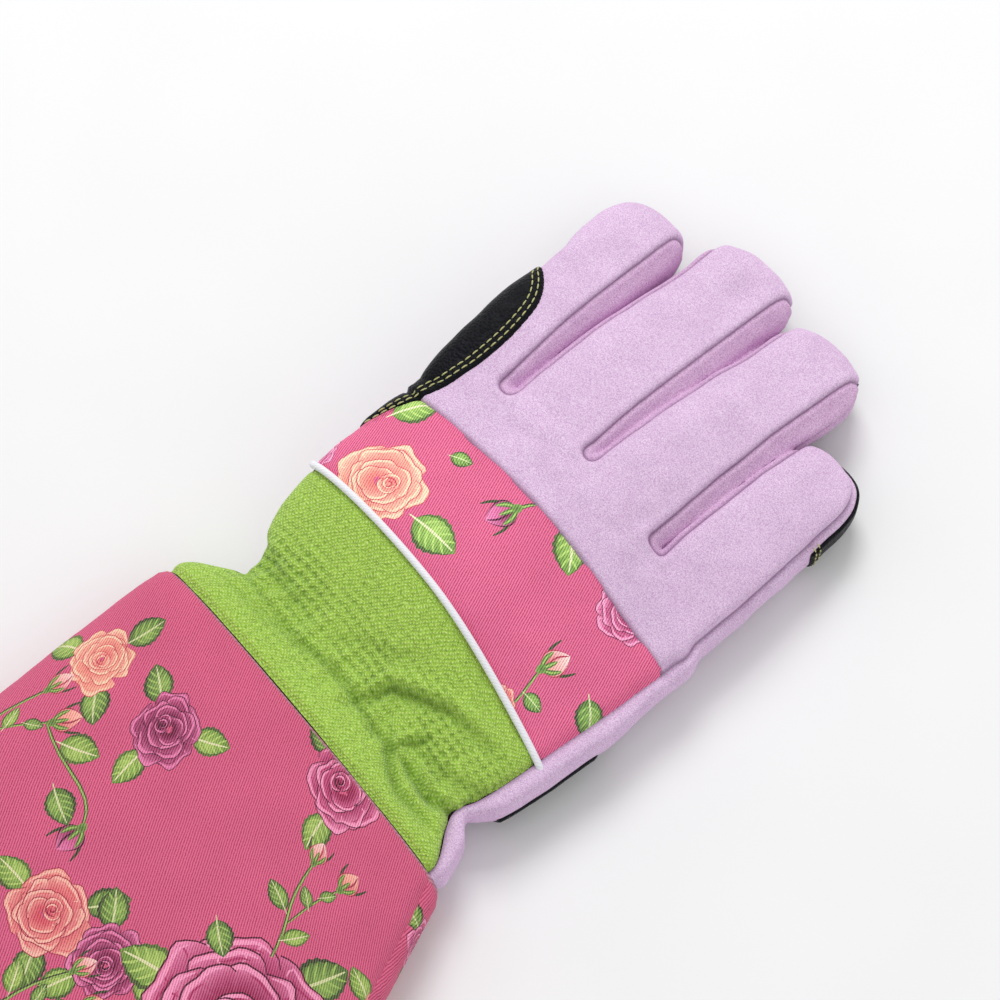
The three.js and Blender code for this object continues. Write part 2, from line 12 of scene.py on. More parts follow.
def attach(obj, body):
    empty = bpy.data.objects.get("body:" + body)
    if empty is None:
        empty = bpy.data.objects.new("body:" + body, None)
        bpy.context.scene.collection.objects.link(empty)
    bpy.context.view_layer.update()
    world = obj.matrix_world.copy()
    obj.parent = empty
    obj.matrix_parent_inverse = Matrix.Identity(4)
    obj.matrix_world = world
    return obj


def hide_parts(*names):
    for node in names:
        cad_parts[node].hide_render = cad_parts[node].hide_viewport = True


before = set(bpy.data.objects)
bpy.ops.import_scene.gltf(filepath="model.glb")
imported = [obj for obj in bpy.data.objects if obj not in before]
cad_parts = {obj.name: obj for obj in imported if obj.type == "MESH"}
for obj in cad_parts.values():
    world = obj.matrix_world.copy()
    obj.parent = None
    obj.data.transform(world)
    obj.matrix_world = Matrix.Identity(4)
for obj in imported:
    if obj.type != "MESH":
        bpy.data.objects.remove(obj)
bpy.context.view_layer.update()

SHIFT = np.array([-23.333, 6.349, 0.0])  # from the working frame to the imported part's
HALF = 56.0  # the palm's half width
CROTCH = 110.0  # where the palm ends between the fingers
CROTCH_BOW = 6.0
MID = 14.0  # height of the hand's middle at the wrist
LIFT = 14.5  # how far the thumb under it raises the palm
SWING = 6.5  # how much the side seam rises from the hand's middle to the little finger's side
ROOT = 85.03  # where the fingers' axes begin, inside the palm
FINGER_SPAN = 110.0
DROOP = 4.0
TIP_ROUND = 16.0
LAP = 5.6  # how far a side strip comes in over the finger on its thumb side
TUCK = 2.4  # and over the one on its other side
PALM_POWER = 2.9  # squareness of the palm's section
FINGER_POWER = 2.75
CUFF_POWER = 2.5
CUFF = 200.0
CUFF_WIDE = 168.0
CUFF_THICK = 33.0
CUFF_TURN = math.radians(11.5)
WALL = 1.5
HEM = 14.0

# y, left and right half widths and half thickness of the wrist and palm
BODY = np.array([
    (0, 64.6, 60.2, 14.0), (6, 61.6, 57.1, 12.9), (11.5, 53.8, 52.1, 11.6), (17, 48.4, 48.4, 10.5),
    (22, 49.6, 50.7, 10.8), (30, 55.2, 51.8, 11), (39, 57.7, 52.4, 11), (50, 59.1, 52.9, 11),
    (62, 58.8, 53.5, 11.2), (76, 59.4, 54, 11.2), (90, 59.6, 54, 11), (98, 59.6, 53.5, 10.7)])
# root x, tip x, tip y, width, tip width and thickness of the fingers, from index to little
FINGERS = np.array([
    (-49.4, -62.4, 181.8, 25.4, 27.2, 19.2), (-21.8, -30.9, 195.2, 33.0, 32.8, 19.4),
    (8.0, 2.6, 193.6, 32.0, 31.6, 19.0), (39.1, 31.2, 170.6, 30.4, 25.6, 18.2)])
# y where the slots between the fingers begin
SLOTS = (102.5, 107.5, 107.0)
# x, y, z, half width and half thickness of the thumb
THUMB = np.array([
    (-37, 50, 30, 11.3, 9.4), (-37, 56, 22.5, 13.2, 9.4), (-35.3, 63, 15, 14, 8.8),
    (-31.4, 73, 10.2, 14, 8.2), (-25.2, 86, 7.6, 13.8, 7.4), (-17.9, 98, 7.25, 13.5, 7.25),
    (-11.5, 107, 7.25, 12.4, 7.1), (-8.4, 112.5, 7.25, 9.2, 6.1), (-7.2, 115.0, 7.25, 5.0, 4.0)])
# shares of the cuff's length, width and thickness
CUFF_ROWS = np.array([
    (0, .748, .85), (.03, .766, .88), (.08, .79, .93), (.165, .82, .97), (.3, .865, 1),
    (.48, .915, .99), (.7, .96, .96), (.87, .985, .94), (1, 1, .93)])
# outlines in plan of the patch by the thumb and of the palm's patch
WEB_EDGE = np.array([
    (-90, 141), (-73, 141), (-67, 139), (-60.4, 135), (-55.2, 129), (-52.2, 120),
    (-50.4, 109), (-50.2, 97), (-51.8, 87), (-54.8, 79), (-57.4, 71), (-59.5, 62.5), (-90, 58)])
PALM_EDGE = np.array([
    (20, 26), (35, 23), (53, 26), (61, 33), (60, 49), (51, 64), (43.5, 88), (32, 94),
    (21, 88), (15.5, 66), (16, 42)])


def smooth(t):
    """An even step from 0 to 1."""
    t = np.clip(t, 0, 1)
    return t * t * (3 - 2 * t)


def unit(rows, least=0.0):
    """Rows brought to length 1."""
    return rows / np.maximum(np.linalg.norm(rows, axis=1), least)[:, None]


def curve(xs, ys, soft):
    """A table's line, softened over about soft millimetres."""
    grid = np.arange(xs[0] - 40, xs[-1] + 60, 0.5)
    reach = int(soft * 6)
    bell = np.exp(-0.5 * (np.arange(-reach, reach + 1) * 0.5 / soft) ** 2)
    line = np.convolve(np.pad(np.interp(grid, xs, ys), reach, "edge"), bell / bell.sum(), "valid")
    return lambda q: np.interp(q, grid, line)


LEFT, RIGHT, THICK = (curve(BODY[:, 0], BODY[:, i], 1.7) for i in (1, 2, 3))
CUFF_W, CUFF_T = (curve(CUFF_ROWS[:, 0] * CUFF, CUFF_ROWS[:, i] * s / 2, 4)
                  for i, s in ((1, CUFF_WIDE), (2, CUFF_THICK)))


def ripple(p, wave, seed, count=9):
    """A soft unevenness from -1 to 1, with features about wave wide."""
    r = np.random.default_rng(seed)
    total = np.zeros(len(p))
    for _ in range(count):
        k = r.normal(size=3)
        k *= 2 * math.pi / (wave * r.uniform(0.7, 1.5)) / np.linalg.norm(k)
        total += np.sin(p @ k + r.uniform(0, 6.28))
    return total / math.sqrt(count * 2) * 1.2


def lift(x, y):
    """How far the hand's middle stands above its height at the wrist."""
    tips = ROOT + FINGER_SPAN
    along = smooth((y - 0.1 * CROTCH) / (0.46 * CROTCH))
    fall = 1 - 0.86 * smooth((y - CROTCH) / (tips - CROTCH))
    across = 1 - smooth((x + 0.12 * HALF) / (1.02 * HALF))
    droop = DROOP * smooth((y - 1.1 * CROTCH) / (tips - 1.1 * CROTCH))
    return LIFT * along * fall * across - droop


def seam_height(x, y):
    """Height of the seam between the glove's back and its palm."""
    return MID + np.where(y < 0, 0, lift(x, y)) + np.clip(x / HALF, -1.3, 1.3) * SWING


def bent(x, thumb_side, middle, little_side):
    """A bowed line across the hand, from three shares of the palm's length."""
    u = np.clip(x / HALF, -1.2, 1.2)
    return (middle + (little_side - thumb_side) / 2 * u
            + ((thumb_side + little_side) / 2 - middle) * u * u) * CROTCH


def piping_y(x):
    return bent(x, 0.44, 0.45, 0.385)


def suede_y(x):
    return bent(x, 0.755, 0.793, 0.796)


def smin(a, b, k):
    """The smaller of two fields, blended over k."""
    h = np.maximum(k - np.abs(a - b), 0) / k
    return np.minimum(a, b) - h * h * k / 4


def smax(a, b, k):
    return -smin(-a, -b, k)


def finger_axes(i, x, y):
    """Distance along a finger and across it, with its length and half width there."""
    rx, tx, ty, wide, tip_wide, _ = FINGERS[i]
    length = math.hypot(tx - rx, ty - ROOT)
    ax, ay = (tx - rx) / length, (ty - ROOT) / length
    s = (x - rx) * ax + (y - ROOT) * ay
    u = (x - rx) * ay - (y - ROOT) * ax
    t = np.clip(s / length, 0, 1)
    swell = 1 - 0.07 * (1 - smooth(s / 34)) + 0.012 * np.sin(s / 9 + i)
    return s, u, length, (wide + (tip_wide - wide) * t) / 2 * swell


def lap(y):
    """How far the strip beside a finger comes in over its edge: less at the crotch."""
    return LAP * (0.68 + 0.32 * smooth((y - 104) / 58))


def hand(p):
    """Signed distance, roughly, from the outside of the hand's cloth."""
    x, y, z = p[:, 0], p[:, 1], p[:, 2]
    zz = z - MID - lift(x, y)
    left, right, b = LEFT(y), RIGHT(y), THICK(y)
    cx, a = (right - left) / 2, (left + right) / 2
    u = (x - cx) / a
    e = np.maximum(y - (CROTCH - CROTCH_BOW * u * u - 12), 0)
    k = PALM_POWER
    g = (np.abs(u) ** k + np.abs(zz / b) ** k + (e / 12) ** k) ** (1 / k) + 1e-6
    palm = np.sqrt((x - cx) ** 2 + zz ** 2 + e ** 2) * (1 - 1 / g)
    fingers = np.full(len(p), 1e3)
    for i in range(4):
        s, u, length, a = finger_axes(i, x, y)
        b = FINGERS[i, 5] / 2 * (0.86 + 0.14 * smooth(s / 30))
        e = np.maximum(s - (length - TIP_ROUND), 0) / TIP_ROUND
        e0 = np.maximum(16 - s, 0) / 15
        k = FINGER_POWER
        g = (np.abs(u / a) ** k + np.abs(zz / b) ** k + e ** 2.5 + e0 ** 2.5) ** (1 / k)
        d = np.sqrt(u * u + zz * zz + (e * TIP_ROUND) ** 2 + (e0 * 15) ** 2) * (1 - 1 / (g + 1e-6))
        if i < 3:
            slope = (u - (a - lap(y))) * 0.64 + (zz - b * 0.93) * 0.77
            d = smax(d, slope, 0.7)
        fingers = smin(fingers, d, 1.6)
    both = smin(palm, fingers, 6 * smooth((y - 88) / 10) + 0.3)
    # the straight side of the index finger, and the side that rests on the floor
    beside = -x - 62.0 - 0.144 * (y - 102) - 0.35 * (np.maximum(86 - y, 0) + np.maximum(y - 150, 0))
    both = smax(both, beside, 4)
    return smax(both, 1.4 - z, 2.5)


def slope_of(field, p, h=0.12):
    """The field's value and its unit gradient."""
    f = field(p)
    g = np.stack([field(p + np.eye(3)[i] * h) - f for i in range(3)], 1) / h
    size = np.maximum(np.linalg.norm(g, axis=1), 0.2)
    return f, g / size[:, None], size


def settle(field, p, rounds=3):
    """Points moved onto the surface where the field is zero, with the way out there."""
    for _ in range(rounds):
        f, n, size = slope_of(field, p)
        p = p - n * np.clip(f / size, -1.5, 1.5)[:, None]
    return p, slope_of(field, p)[1]


def skin_mesh(field, low, high, step):
    """A surface net of quads over the field's zero level."""
    axes = [np.arange(a, b, step) for a, b in zip(low, high)]
    shape = [len(a) for a in axes]
    values = np.empty(shape, np.float32)
    yy, zz = np.meshgrid(axes[1], axes[2], indexing="ij")
    for i, x in enumerate(axes[0]):
        p = np.stack([np.full(yy.size, x), yy.ravel(), zz.ravel()], 1)
        values[i] = field(p).reshape(yy.shape)
    inside = values < 0
    cells = tuple(n - 1 for n in shape)
    total = np.zeros(cells + (3,))
    count = np.zeros(cells)
    corners = [(a, b, c) for a in (0, 1) for b in (0, 1) for c in (0, 1)]

    def at(array, c):
        return array[c[0]:c[0] + cells[0], c[1]:c[1] + cells[1], c[2]:c[2] + cells[2]]

    for a in corners:
        for axis in range(3):
            if a[axis]:
                continue
            b = tuple(v + (1 if k == axis else 0) for k, v in enumerate(a))
            va, vb = at(values, a), at(values, b)
            cross = (va < 0) != (vb < 0)
            t = np.where(cross, va / np.where(cross, va - vb, 1), 0)
            for k in range(3):
                total[..., k] += np.where(cross, a[k] + (t if k == axis else 0), 0)
            count += cross
    used = count > 0
    index = np.full(cells, -1)
    index[used] = np.arange(used.sum())
    where = np.argwhere(used)
    p = (where + total[used] / count[used][:, None]) * step + np.array(low)
    quads = []
    for axis in range(3):
        b, c = (axis + 1) % 3, (axis + 2) % 3
        lo = [slice(1, -1)] * 3
        lo[axis] = slice(0, -1)
        hi = list(lo)
        hi[axis] = slice(1, None)
        va, vb = inside[tuple(lo)], inside[tuple(hi)]
        for flip, hit in ((False, va & ~vb), (True, ~va & vb)):
            k = np.argwhere(hit) + np.array([0 if i == axis else 1 for i in range(3)])
            eb, ec = np.eye(3, dtype=int)[b], np.eye(3, dtype=int)[c]
            ring = [k - eb - ec, k - ec, k, k - eb]
            ids = np.stack([index[tuple(r.T)] for r in ring], 1)
            quads.append(ids[:, ::-1] if flip else ids)
    return p, np.concatenate(quads)


def triangles(quads):
    """Each quad as two triangles."""
    return np.concatenate([quads[:, [0, 1, 2]], quads[:, [0, 2, 3]]])


def cut(p, tris, value):
    """The mesh with every triangle wholly on one side of value = 0, and each triangle's side."""
    f = value(p)
    f = np.where(np.abs(f) < 1e-4, 1e-4, f)
    side = f[tris] > 0
    number = side.sum(1)
    whole = (number == 0) | (number == 3)
    split = tris[~whole]
    lone = (side[~whole] == (number[~whole] == 1)[:, None]).argmax(1)
    r = np.arange(len(split))
    a, b, c = split[r, lone], split[r, (lone + 1) % 3], split[r, (lone + 2) % 3]
    keys = np.concatenate([np.sort(np.stack([a, b], 1)), np.sort(np.stack([a, c], 1))])
    keys, back = np.unique(keys, axis=0, return_inverse=True)
    back = back.ravel()
    t = f[keys[:, 0]] / (f[keys[:, 0]] - f[keys[:, 1]])
    new = p[keys[:, 0]] * (1 - t)[:, None] + p[keys[:, 1]] * t[:, None]
    ab, ac = len(p) + back[:len(split)], len(p) + back[len(split):]
    p = np.concatenate([p, new])
    out = np.concatenate([tris[whole], np.stack([a, ab, ac], 1), np.stack([ab, b, c], 1),
                          np.stack([ab, c, ac], 1)])
    lone_up = f[a] > 0
    up = np.concatenate([number[whole] == 3, lone_up, ~lone_up, ~lone_up])
    return p, out, up


def inside_edge(edge, x, y):
    """Distance inside a plan outline, negative outside it."""
    q = np.stack([x, y], 1)
    best = np.full(len(q), 1e9)
    wind = np.zeros(len(q), bool)
    for a, b in zip(edge, np.roll(edge, -1, axis=0)):
        ab = b - a
        t = np.clip(((q - a) @ ab) / (ab @ ab), 0, 1)
        best = np.minimum(best, np.linalg.norm(q - a - t[:, None] * ab, axis=1))
        over = (a[1] > y) != (b[1] > y)
        wind ^= over & (x < a[0] + (y - a[1]) / np.where(over, b[1] - a[1], 1) * ab[0])
    return np.where(wind, best, -best)


def rounded(edge, rounds=3):
    """A closed outline with its corners cut to a smooth curve."""
    for _ in range(rounds):
        after = np.roll(edge, -1, axis=0)
        edge = np.stack([edge * 0.75 + after * 0.25, edge * 0.25 + after * 0.75], 1).reshape(-1, 2)
    return edge


def slot_field(i, x, y):
    """How far inside the strip between two fingers a place in plan is."""
    s, u, length, a = finger_axes(i, x, y)
    s2, u2, length2, a2 = finger_axes(i + 1, x, y)
    sides = smin(u - (a - lap(y)), -u2 - (a2 - TUCK), 1.2)
    ends = np.where(u < a + 0.8, length - 3.0 - s, length2 - 3.0 - s2)
    return smin(smin(sides, y - SLOTS[i], 3.5), ends, 3)


def slots_field(x, y):
    """The same for the nearest of the three strips."""
    return np.maximum.reduce([slot_field(i, x, y) for i in range(3)])


def groove(d, deep, wide):
    """A soft valley where d is 0."""
    return -deep * np.exp(-(d / wide) ** 2)


def off_line(line, x, y):
    """Distance from a line in plan, its sign on the line's left, and the share along it."""
    line = np.asarray(line, float)
    q = np.stack([x, y], 1)
    best = np.full(len(q), 1e9)
    side = np.ones(len(q))
    share = np.zeros(len(q))
    for k, (a, b) in enumerate(zip(line, line[1:])):
        ab = b - a
        t = np.clip(((q - a) @ ab) / (ab @ ab), 0, 1)
        off = q - a - t[:, None] * ab
        d = np.linalg.norm(off, axis=1)
        near = d < best
        best = np.where(near, d, best)
        side = np.where(near, np.sign(ab[0] * off[:, 1] - ab[1] * off[:, 0]), side)
        share = np.where(near, (k + t) / (len(line) - 1), share)
    return best, side, share


# plan line, depth, width and roll beside it of each crease in the knitted band
CREASES = (
    (((4, 14), (6.5, 18.5), (8, 24), (14.4, 27.5), (24.6, 32.4), (40, 35.5)), 2.2, 2.0, 1.2),
    (((18, 16.5), (22, 13), (27.5, 9.6), (33.7, 7.4), (46, 8.2)), 2.2, 1.5, 1.1),
    (((21.5, 12), (23.5, 18), (27, 23.5)), 1.5, 1.3, 0.9),
    (((30, 14.4), (38.4, 12.8), (47, 16.2)), 2.0, 1.5, 1.0),
    (((-63, 20), (-46, 15.4), (-33, 14), (-19.6, 13.6), (-7.8, 15.6), (1.2, 15.6), (13.4, 13.8),
      (21.5, 13.8), (30.7, 14.2), (38, 14.8), (52, 18)), 1.5, 1.3, 0.5),
    (((-56, 26), (-40, 21), (-26, 19)), 0.9, 2.4, 0.6), (((-50, 9), (-36, 11), (-24, 12)), 0.8, 2.0, 0.5),
    (((-14, 20), (-8, 26), (2, 30), (8, 36)), 0.6, 2.0, 0.4), (((26, 19), (38, 21), (50, 27)), 1.0, 2.0, 0.7))


def gathers(p):
    """The knitted band's gathers across the waist, and the creases that run into them."""
    x, y = p[:, 0], p[:, 1]
    waist = np.exp(-((y - 17) / 8) ** 2)
    fan = x + 0.12 * (y - 20) * x / 10 + 1.6 * np.sin(x / 7.3) + 0.8 * np.sin(x / 2.9 + 1)
    out = waist * (np.sin(fan * 1.15) * 0.26 + np.sin(fan * 0.61 + 1.3) * 0.42)
    for line, deep, wide, roll in CREASES:
        d, side, share = off_line(line, x, y)
        fade = np.sin(math.pi * np.clip(0.1 + 0.8 * share, 0, 1)) ** 0.7
        valley = -np.exp(-(d / wide * np.where(side > 0, 1.5, 0.8)) ** 2)
        out += deep * fade * (valley + roll * 0.5 * np.exp(-((d * side - wide * 1.5) / wide) ** 2))
    out += 0.5 * ripple(p, 17, 61) * waist
    return out * smooth(y / 4) * smooth((piping_y(x) - y) / 4)


def crease_shade(p):
    """The soft dark in the deep of each crease of the knitted band, from 0 to 1."""
    out = np.zeros(len(p))
    for line, deep, wide, _roll in CREASES:
        d, side, share = off_line(line, p[:, 0], p[:, 1])
        fade = np.sin(math.pi * np.clip(0.05 + 0.9 * share, 0, 1)) ** 0.7
        near = np.exp(-(d / wide * np.where(side > 0, 2.4, 0.75)) ** 2)
        out = np.maximum(out, fade * near * min(1.0, deep / 2))
    return out * smooth(p[:, 1] / 3)


def cloth(p, kind):
    """How far the cloth stands out from the plain form at each point."""
    x, y, z = p[:, 0], p[:, 1], p[:, 2]
    out = 0.35 * ripple(p, 30, 3) + 0.1 * ripple(p, 9, 5)
    side = z - seam_height(x, y)
    out += groove(side, 1.0, 0.9) + 0.28 * np.exp(-((np.abs(side) - 2.4) / 1.4) ** 2)
    over = side > -2
    out += np.where(over, groove(y - suede_y(x), 0.75, 0.8), 0)
    out += groove(y, 1.6, 1.8)
    if kind == "band":
        out += gathers(p) - 0.2
        out += groove(y - piping_y(x), 0.9, 1.6)
    if kind == "panel":
        out += groove(y - piping_y(x), 0.9, 1.6)
    if kind in ("suede", "palm", "slot"):
        f = slots_field(x, y)
        out += groove(f, 0.8, 0.55) + 0.3 * np.exp(-((f + 1.8) / 1.3) ** 2)
        out -= 0.45 * smooth(f / 3)
        out += 0.75 * smooth((y - suede_y(x)) / 0.9) * smooth(side / 2)
    if kind == "suede":
        for x0, y0, deep, wide, tall in ((-27, 181, 1.9, 4.5, 6), (-58, 150, 0.7, 6, 10),
                                         (3, 172, 0.6, 7, 9), (6, 140, 0.5, 7, 12)):
            out -= deep * np.exp(-((x - x0) / wide) ** 2 - ((y - y0) / tall) ** 2)
        for line, deep in ((((-37, 99), (-28, 97), (-10, 104)), 0.8),
                           (((-2, 96), (8, 98), (19, 103)), 0.5)):
            d, _side, share = off_line(line, x, y)
            out -= deep * np.exp(-(d / 2.2) ** 2) * np.sin(math.pi * np.clip(share, 0.08, 0.92))
        for i in range(3):
            lip = slot_field(i, x, y)
            out += 0.55 * np.exp(-((lip + 1.6) / 1.2) ** 2) * np.exp(-((y - SLOTS[i]) / 7) ** 2)
    if kind == "palm":
        low = smooth((14 - z + lift(x, y)) / 10)
        out += 0.9 * low * ripple(p, 22, 8) * smooth((y - 4) / 20)
        fold = 3.2 * np.exp(-((y - 12) / 5.5) ** 2) + groove(y - 19, 0.9, 1.3)
        out += fold * smooth((x - 38) / 8) * smooth((0.5 - side) / 3)
        bulge = smooth((y - 20) / 8) * smooth((92 - y) / 30) * smooth((x - 38) / 10)
        out += 2.3 * bulge * smooth((0.5 - side) / 3.5)
    return out


def seam_shade(p, kind):
    """Painted shade from 0 to 1 along the sewn edges."""
    x, y, z = p[:, 0], p[:, 1], p[:, 2]
    side = z - seam_height(x, y)
    f = slots_field(x, y)
    out = 0.75 * np.exp(-(side / 0.45) ** 2)
    out = np.maximum(out, np.exp(-(f / 0.4) ** 2) * (0.85 if kind != "palm" else 0.5))
    if kind == "suede":
        out = np.maximum(out, 0.8 * np.exp(-((y - suede_y(x)) / 0.5) ** 2))
    return out


# Materials

def linear(c):
    """Linear light from screen values."""
    c = np.asarray(c, float)
    return np.where(c > 0.04045, ((c + 0.055) / 1.055) ** 2.4, c / 12.92)


def rgb(*screen):
    return tuple(map(float, linear(screen))) + (1.0,)


class Nodes:
    """A material under construction."""

    def __init__(self, name, roughness, **fixed):
        self.material = bpy.data.materials.new(name)
        self.material.use_nodes = True
        self.tree = self.material.node_tree
        self.shader = self.tree.nodes["Principled BSDF"]
        self.shader.inputs["Roughness"].default_value = roughness
        for key, value in fixed.items():
            self.shader.inputs[key.replace("_", " ")].default_value = value

    def add(self, kind, links=None, **values):
        node = self.tree.nodes.new(kind)
        for key, value in values.items():
            setattr(node, key, value)
        for key, value in (links or {}).items():
            socket = node.inputs[key]
            if isinstance(value, bpy.types.NodeSocket):
                self.tree.links.new(value, socket)
            else:
                socket.default_value = value
        return node

    def math(self, operation, a, b=0.0, c=0.0):
        return self.add("ShaderNodeMath", {0: a, 1: b, 2: c}, operation=operation).outputs[0]

    def mix(self, factor, a, b, blend="MIX"):
        node = self.add("ShaderNodeMix", {0: factor, 6: a, 7: b}, data_type="RGBA", blend_type=blend)
        return node.outputs[2]

    def noise(self, vector, scale, detail=2.0, rough=0.5):
        return self.add("ShaderNodeTexNoise", {"Vector": vector, "Scale": scale, "Detail": detail,
                                               "Roughness": rough}).outputs["Fac"]

    def ramp(self, value, stops):
        node = self.add("ShaderNodeValToRGB", {"Fac": value})
        ramp = node.color_ramp
        while len(ramp.elements) < len(stops):
            ramp.elements.new(0.5)
        for element, (place, colour) in zip(ramp.elements, stops):
            element.position = place
            element.color = colour
        return node.outputs["Color"]

    def place(self):
        """Position on the object, in millimetres."""
        here = self.add("ShaderNodeTexCoord").outputs["Object"]
        return self.add("ShaderNodeVectorMath", {0: here, 1: (1000, 1000, 1000)},
                        operation="MULTIPLY").outputs[0]

    def cloth_map(self):
        """Position on the cloth, in millimetres."""
        return self.add("ShaderNodeAttribute", attribute_name="cloth_mm").outputs["Vector"]

    def wave(self, vector, angle, pitch):
        """A ridge pattern from 0 to 1 that runs across the cloth at an angle."""
        turned = self.add("ShaderNodeVectorRotate", {"Vector": vector, "Angle": angle},
                          rotation_type="Z_AXIS").outputs[0]
        x = self.add("ShaderNodeSeparateXYZ", {0: turned}).outputs[0]
        phase = self.math("MULTIPLY", x, 2 * math.pi / pitch)
        return self.math("MULTIPLY_ADD", self.math("SINE", phase), 0.5, 0.5)

    def finish(self, colour, height, depth, strength=1.0):
        if isinstance(colour, bpy.types.NodeSocket):
            self.tree.links.new(colour, self.shader.inputs["Base Color"])
        else:
            self.shader.inputs["Base Color"].default_value = colour
        bump = self.add("ShaderNodeBump", {"Height": height, "Strength": strength,
                                           "Distance": depth / 1000})
        self.tree.links.new(bump.outputs[0], self.shader.inputs["Normal"])
        return self.material


def suede_material(name, bright, light, dark, shadow=rgb(0.42, 0.28, 0.42)):
    m = Nodes(name, 0.95, Sheen_Weight=0.2, Sheen_Roughness=0.45, Specular_IOR_Level=0.12)
    m.shader.inputs["Sheen Tint"].default_value = rgb(0.95, 0.80, 0.97)
    p = m.place()
    speck = m.noise(p, 2.7, 2.5, 0.8)
    broad = m.noise(p, 0.09, 3, 0.6)
    colour = m.ramp(speck, [(0.38, dark), (0.51, light), (0.65, bright)])
    shade = m.ramp(broad, [(0.3, (0.94, 0.92, 0.94, 1)), (0.7, (1.03, 1.03, 1.03, 1))])
    colour = m.mix(1.0, colour, shade, "MULTIPLY")
    # painted shade: the seam attribute darkens the suede towards the shadow colour along its sewn edges
    seam = m.add("ShaderNodeAttribute", attribute_name="seam").outputs["Fac"]
    colour = m.mix(m.math("MULTIPLY", seam, 0.8), colour, shadow)
    height = m.math("ADD", speck, m.math("MULTIPLY", m.noise(p, 0.5, 2), 0.8))
    return m.finish(colour, height, 0.16, 0.55)


def twill_material(name, slant, tint):
    m = Nodes(name, 0.88, Sheen_Weight=0.08, Specular_IOR_Level=0.2)
    p = m.cloth_map()
    wobble = m.math("MULTIPLY", m.noise(p, 0.3, 2), 0.45)
    aside = m.add("ShaderNodeCombineXYZ", {0: wobble}).outputs[0]
    moved = m.add("ShaderNodeVectorMath", {0: p, 1: aside}, operation="ADD").outputs[0]
    rib = m.wave(moved, math.radians(slant), 0.72)
    yarn = m.wave(p, math.radians(slant - 75), 0.55)
    colour = m.add("ShaderNodeVertexColor", layer_name="print").outputs["Color"]
    tone = m.math("MULTIPLY_ADD", m.noise(p, 2.0, 2, 0.8), 0.95, m.math("MULTIPLY_ADD", rib, 0.6, -0.13))
    line = m.ramp(tone, [(0.25, (0.55, 0.34, 0.42, 1)), (0.58, (1.06, 1.06, 1.08, 1)),
                         (0.86, (1.2, 1.2, 1.2, 1))])
    colour = m.mix(1.0, colour, line, "MULTIPLY")
    bare = m.ramp(tone, [(0.56, (0, 0, 0, 1)), (0.86, (0.17, 0.17, 0.17, 1))])
    colour = m.mix(bare, colour, rgb(0.98, 0.75, 0.86))
    fleck = m.ramp(m.noise(p, 0.05, 2), [(0.3, (0.95, 0.94, 0.95, 1)), (0.7, (1.03, 1.03, 1.03, 1))])
    colour = m.mix(1.0, colour, fleck, "MULTIPLY")
    colour = m.mix(1.0, colour, tint, "MULTIPLY")
    height = m.math("MULTIPLY_ADD", yarn, 0.3, rib)
    return m.finish(colour, height, 0.11, 0.7)


def knit_material():
    m = Nodes("green_knit", 0.92, Sheen_Weight=0.2, Specular_IOR_Level=0.15)
    p = m.cloth_map()
    drift = m.add("ShaderNodeTexNoise", {"Vector": p, "Scale": 0.22, "Detail": 2.0}).outputs["Color"]
    drift = m.add("ShaderNodeVectorMath", {0: drift, 1: (2.4, 2.0, 0)}, operation="MULTIPLY").outputs[0]
    moved = m.add("ShaderNodeVectorMath", {0: p, 1: drift}, operation="ADD").outputs[0]
    a = m.wave(moved, math.radians(40), 1.0)
    b = m.wave(moved, math.radians(-48), 0.85)
    loops = m.math("MULTIPLY", a, b)
    rows = m.wave(moved, math.radians(90), 2.5)
    broken = m.wave(moved, math.radians(8), 2.9)
    quilt = m.math("MULTIPLY", rows, m.math("MULTIPLY_ADD", broken, 0.7, 0.3))
    waist = m.add("ShaderNodeVertexColor", layer_name="gather").outputs["Color"]
    patchy = m.ramp(m.noise(p, 0.07, 2), [(0.3, (0.3, 0.3, 0.3, 1)), (0.62, (1, 1, 1, 1))])
    quilt = m.math("MULTIPLY", m.math("MULTIPLY", quilt, waist), patchy)
    speck = m.noise(p, 1.7, 3, 0.8)
    turned = m.add("ShaderNodeMapping", {"Vector": moved, "Rotation": (0, 0, 0.6),
                                         "Scale": (0.75, 1.9, 1)}).outputs[0]
    dash = m.noise(turned, 1.0, 2.5, 0.7)
    grain = m.math("ADD", m.math("MULTIPLY", speck, 0.4), m.math("MULTIPLY", dash, 0.6))
    tone = m.math("MULTIPLY_ADD", loops, 0.3, grain)
    colour = m.ramp(tone, [(0.32, rgb(0.38, 0.55, 0.10)), (0.56, rgb(0.675, 0.83, 0.335)),
                           (0.80, rgb(0.84, 0.95, 0.56))])
    shade = m.ramp(m.math("SUBTRACT", 1.0, quilt), [(0.2, (0.46, 0.54, 0.34, 1)), (0.9, (1.04, 1.03, 1, 1))])
    colour = m.mix(0.75, colour, shade, "MULTIPLY")
    # painted shade: the knit darkened towards deep green in the deep of its creases
    crease = m.add("ShaderNodeAttribute", attribute_name="seam").outputs["Fac"]
    colour = m.mix(m.math("MULTIPLY", crease, 0.5), colour, rgb(0.28, 0.42, 0.06))
    height = m.math("SUBTRACT", m.math("MULTIPLY_ADD", tone, 2.0, loops), m.math("MULTIPLY", quilt, 3.4))
    return m.finish(colour, height, 0.21, 0.95)


def leather_material():
    m = Nodes("black_patch", 0.42, Specular_IOR_Level=0.11)
    p = m.place()
    cell = m.add("ShaderNodeTexVoronoi", {"Vector": p, "Scale": 1.05, "Randomness": 0.95},
                 feature="F1").outputs["Distance"]
    fine = m.noise(p, 2.2, 3, 0.7)
    grain = m.math("MULTIPLY_ADD", fine, 0.35, cell)
    colour = m.ramp(grain, [(0.2, rgb(0.015, 0.015, 0.03)), (0.75, rgb(0.05, 0.055, 0.08))])
    return m.finish(colour, m.math("SUBTRACT", 1.0, grain), 0.34, 1.0)


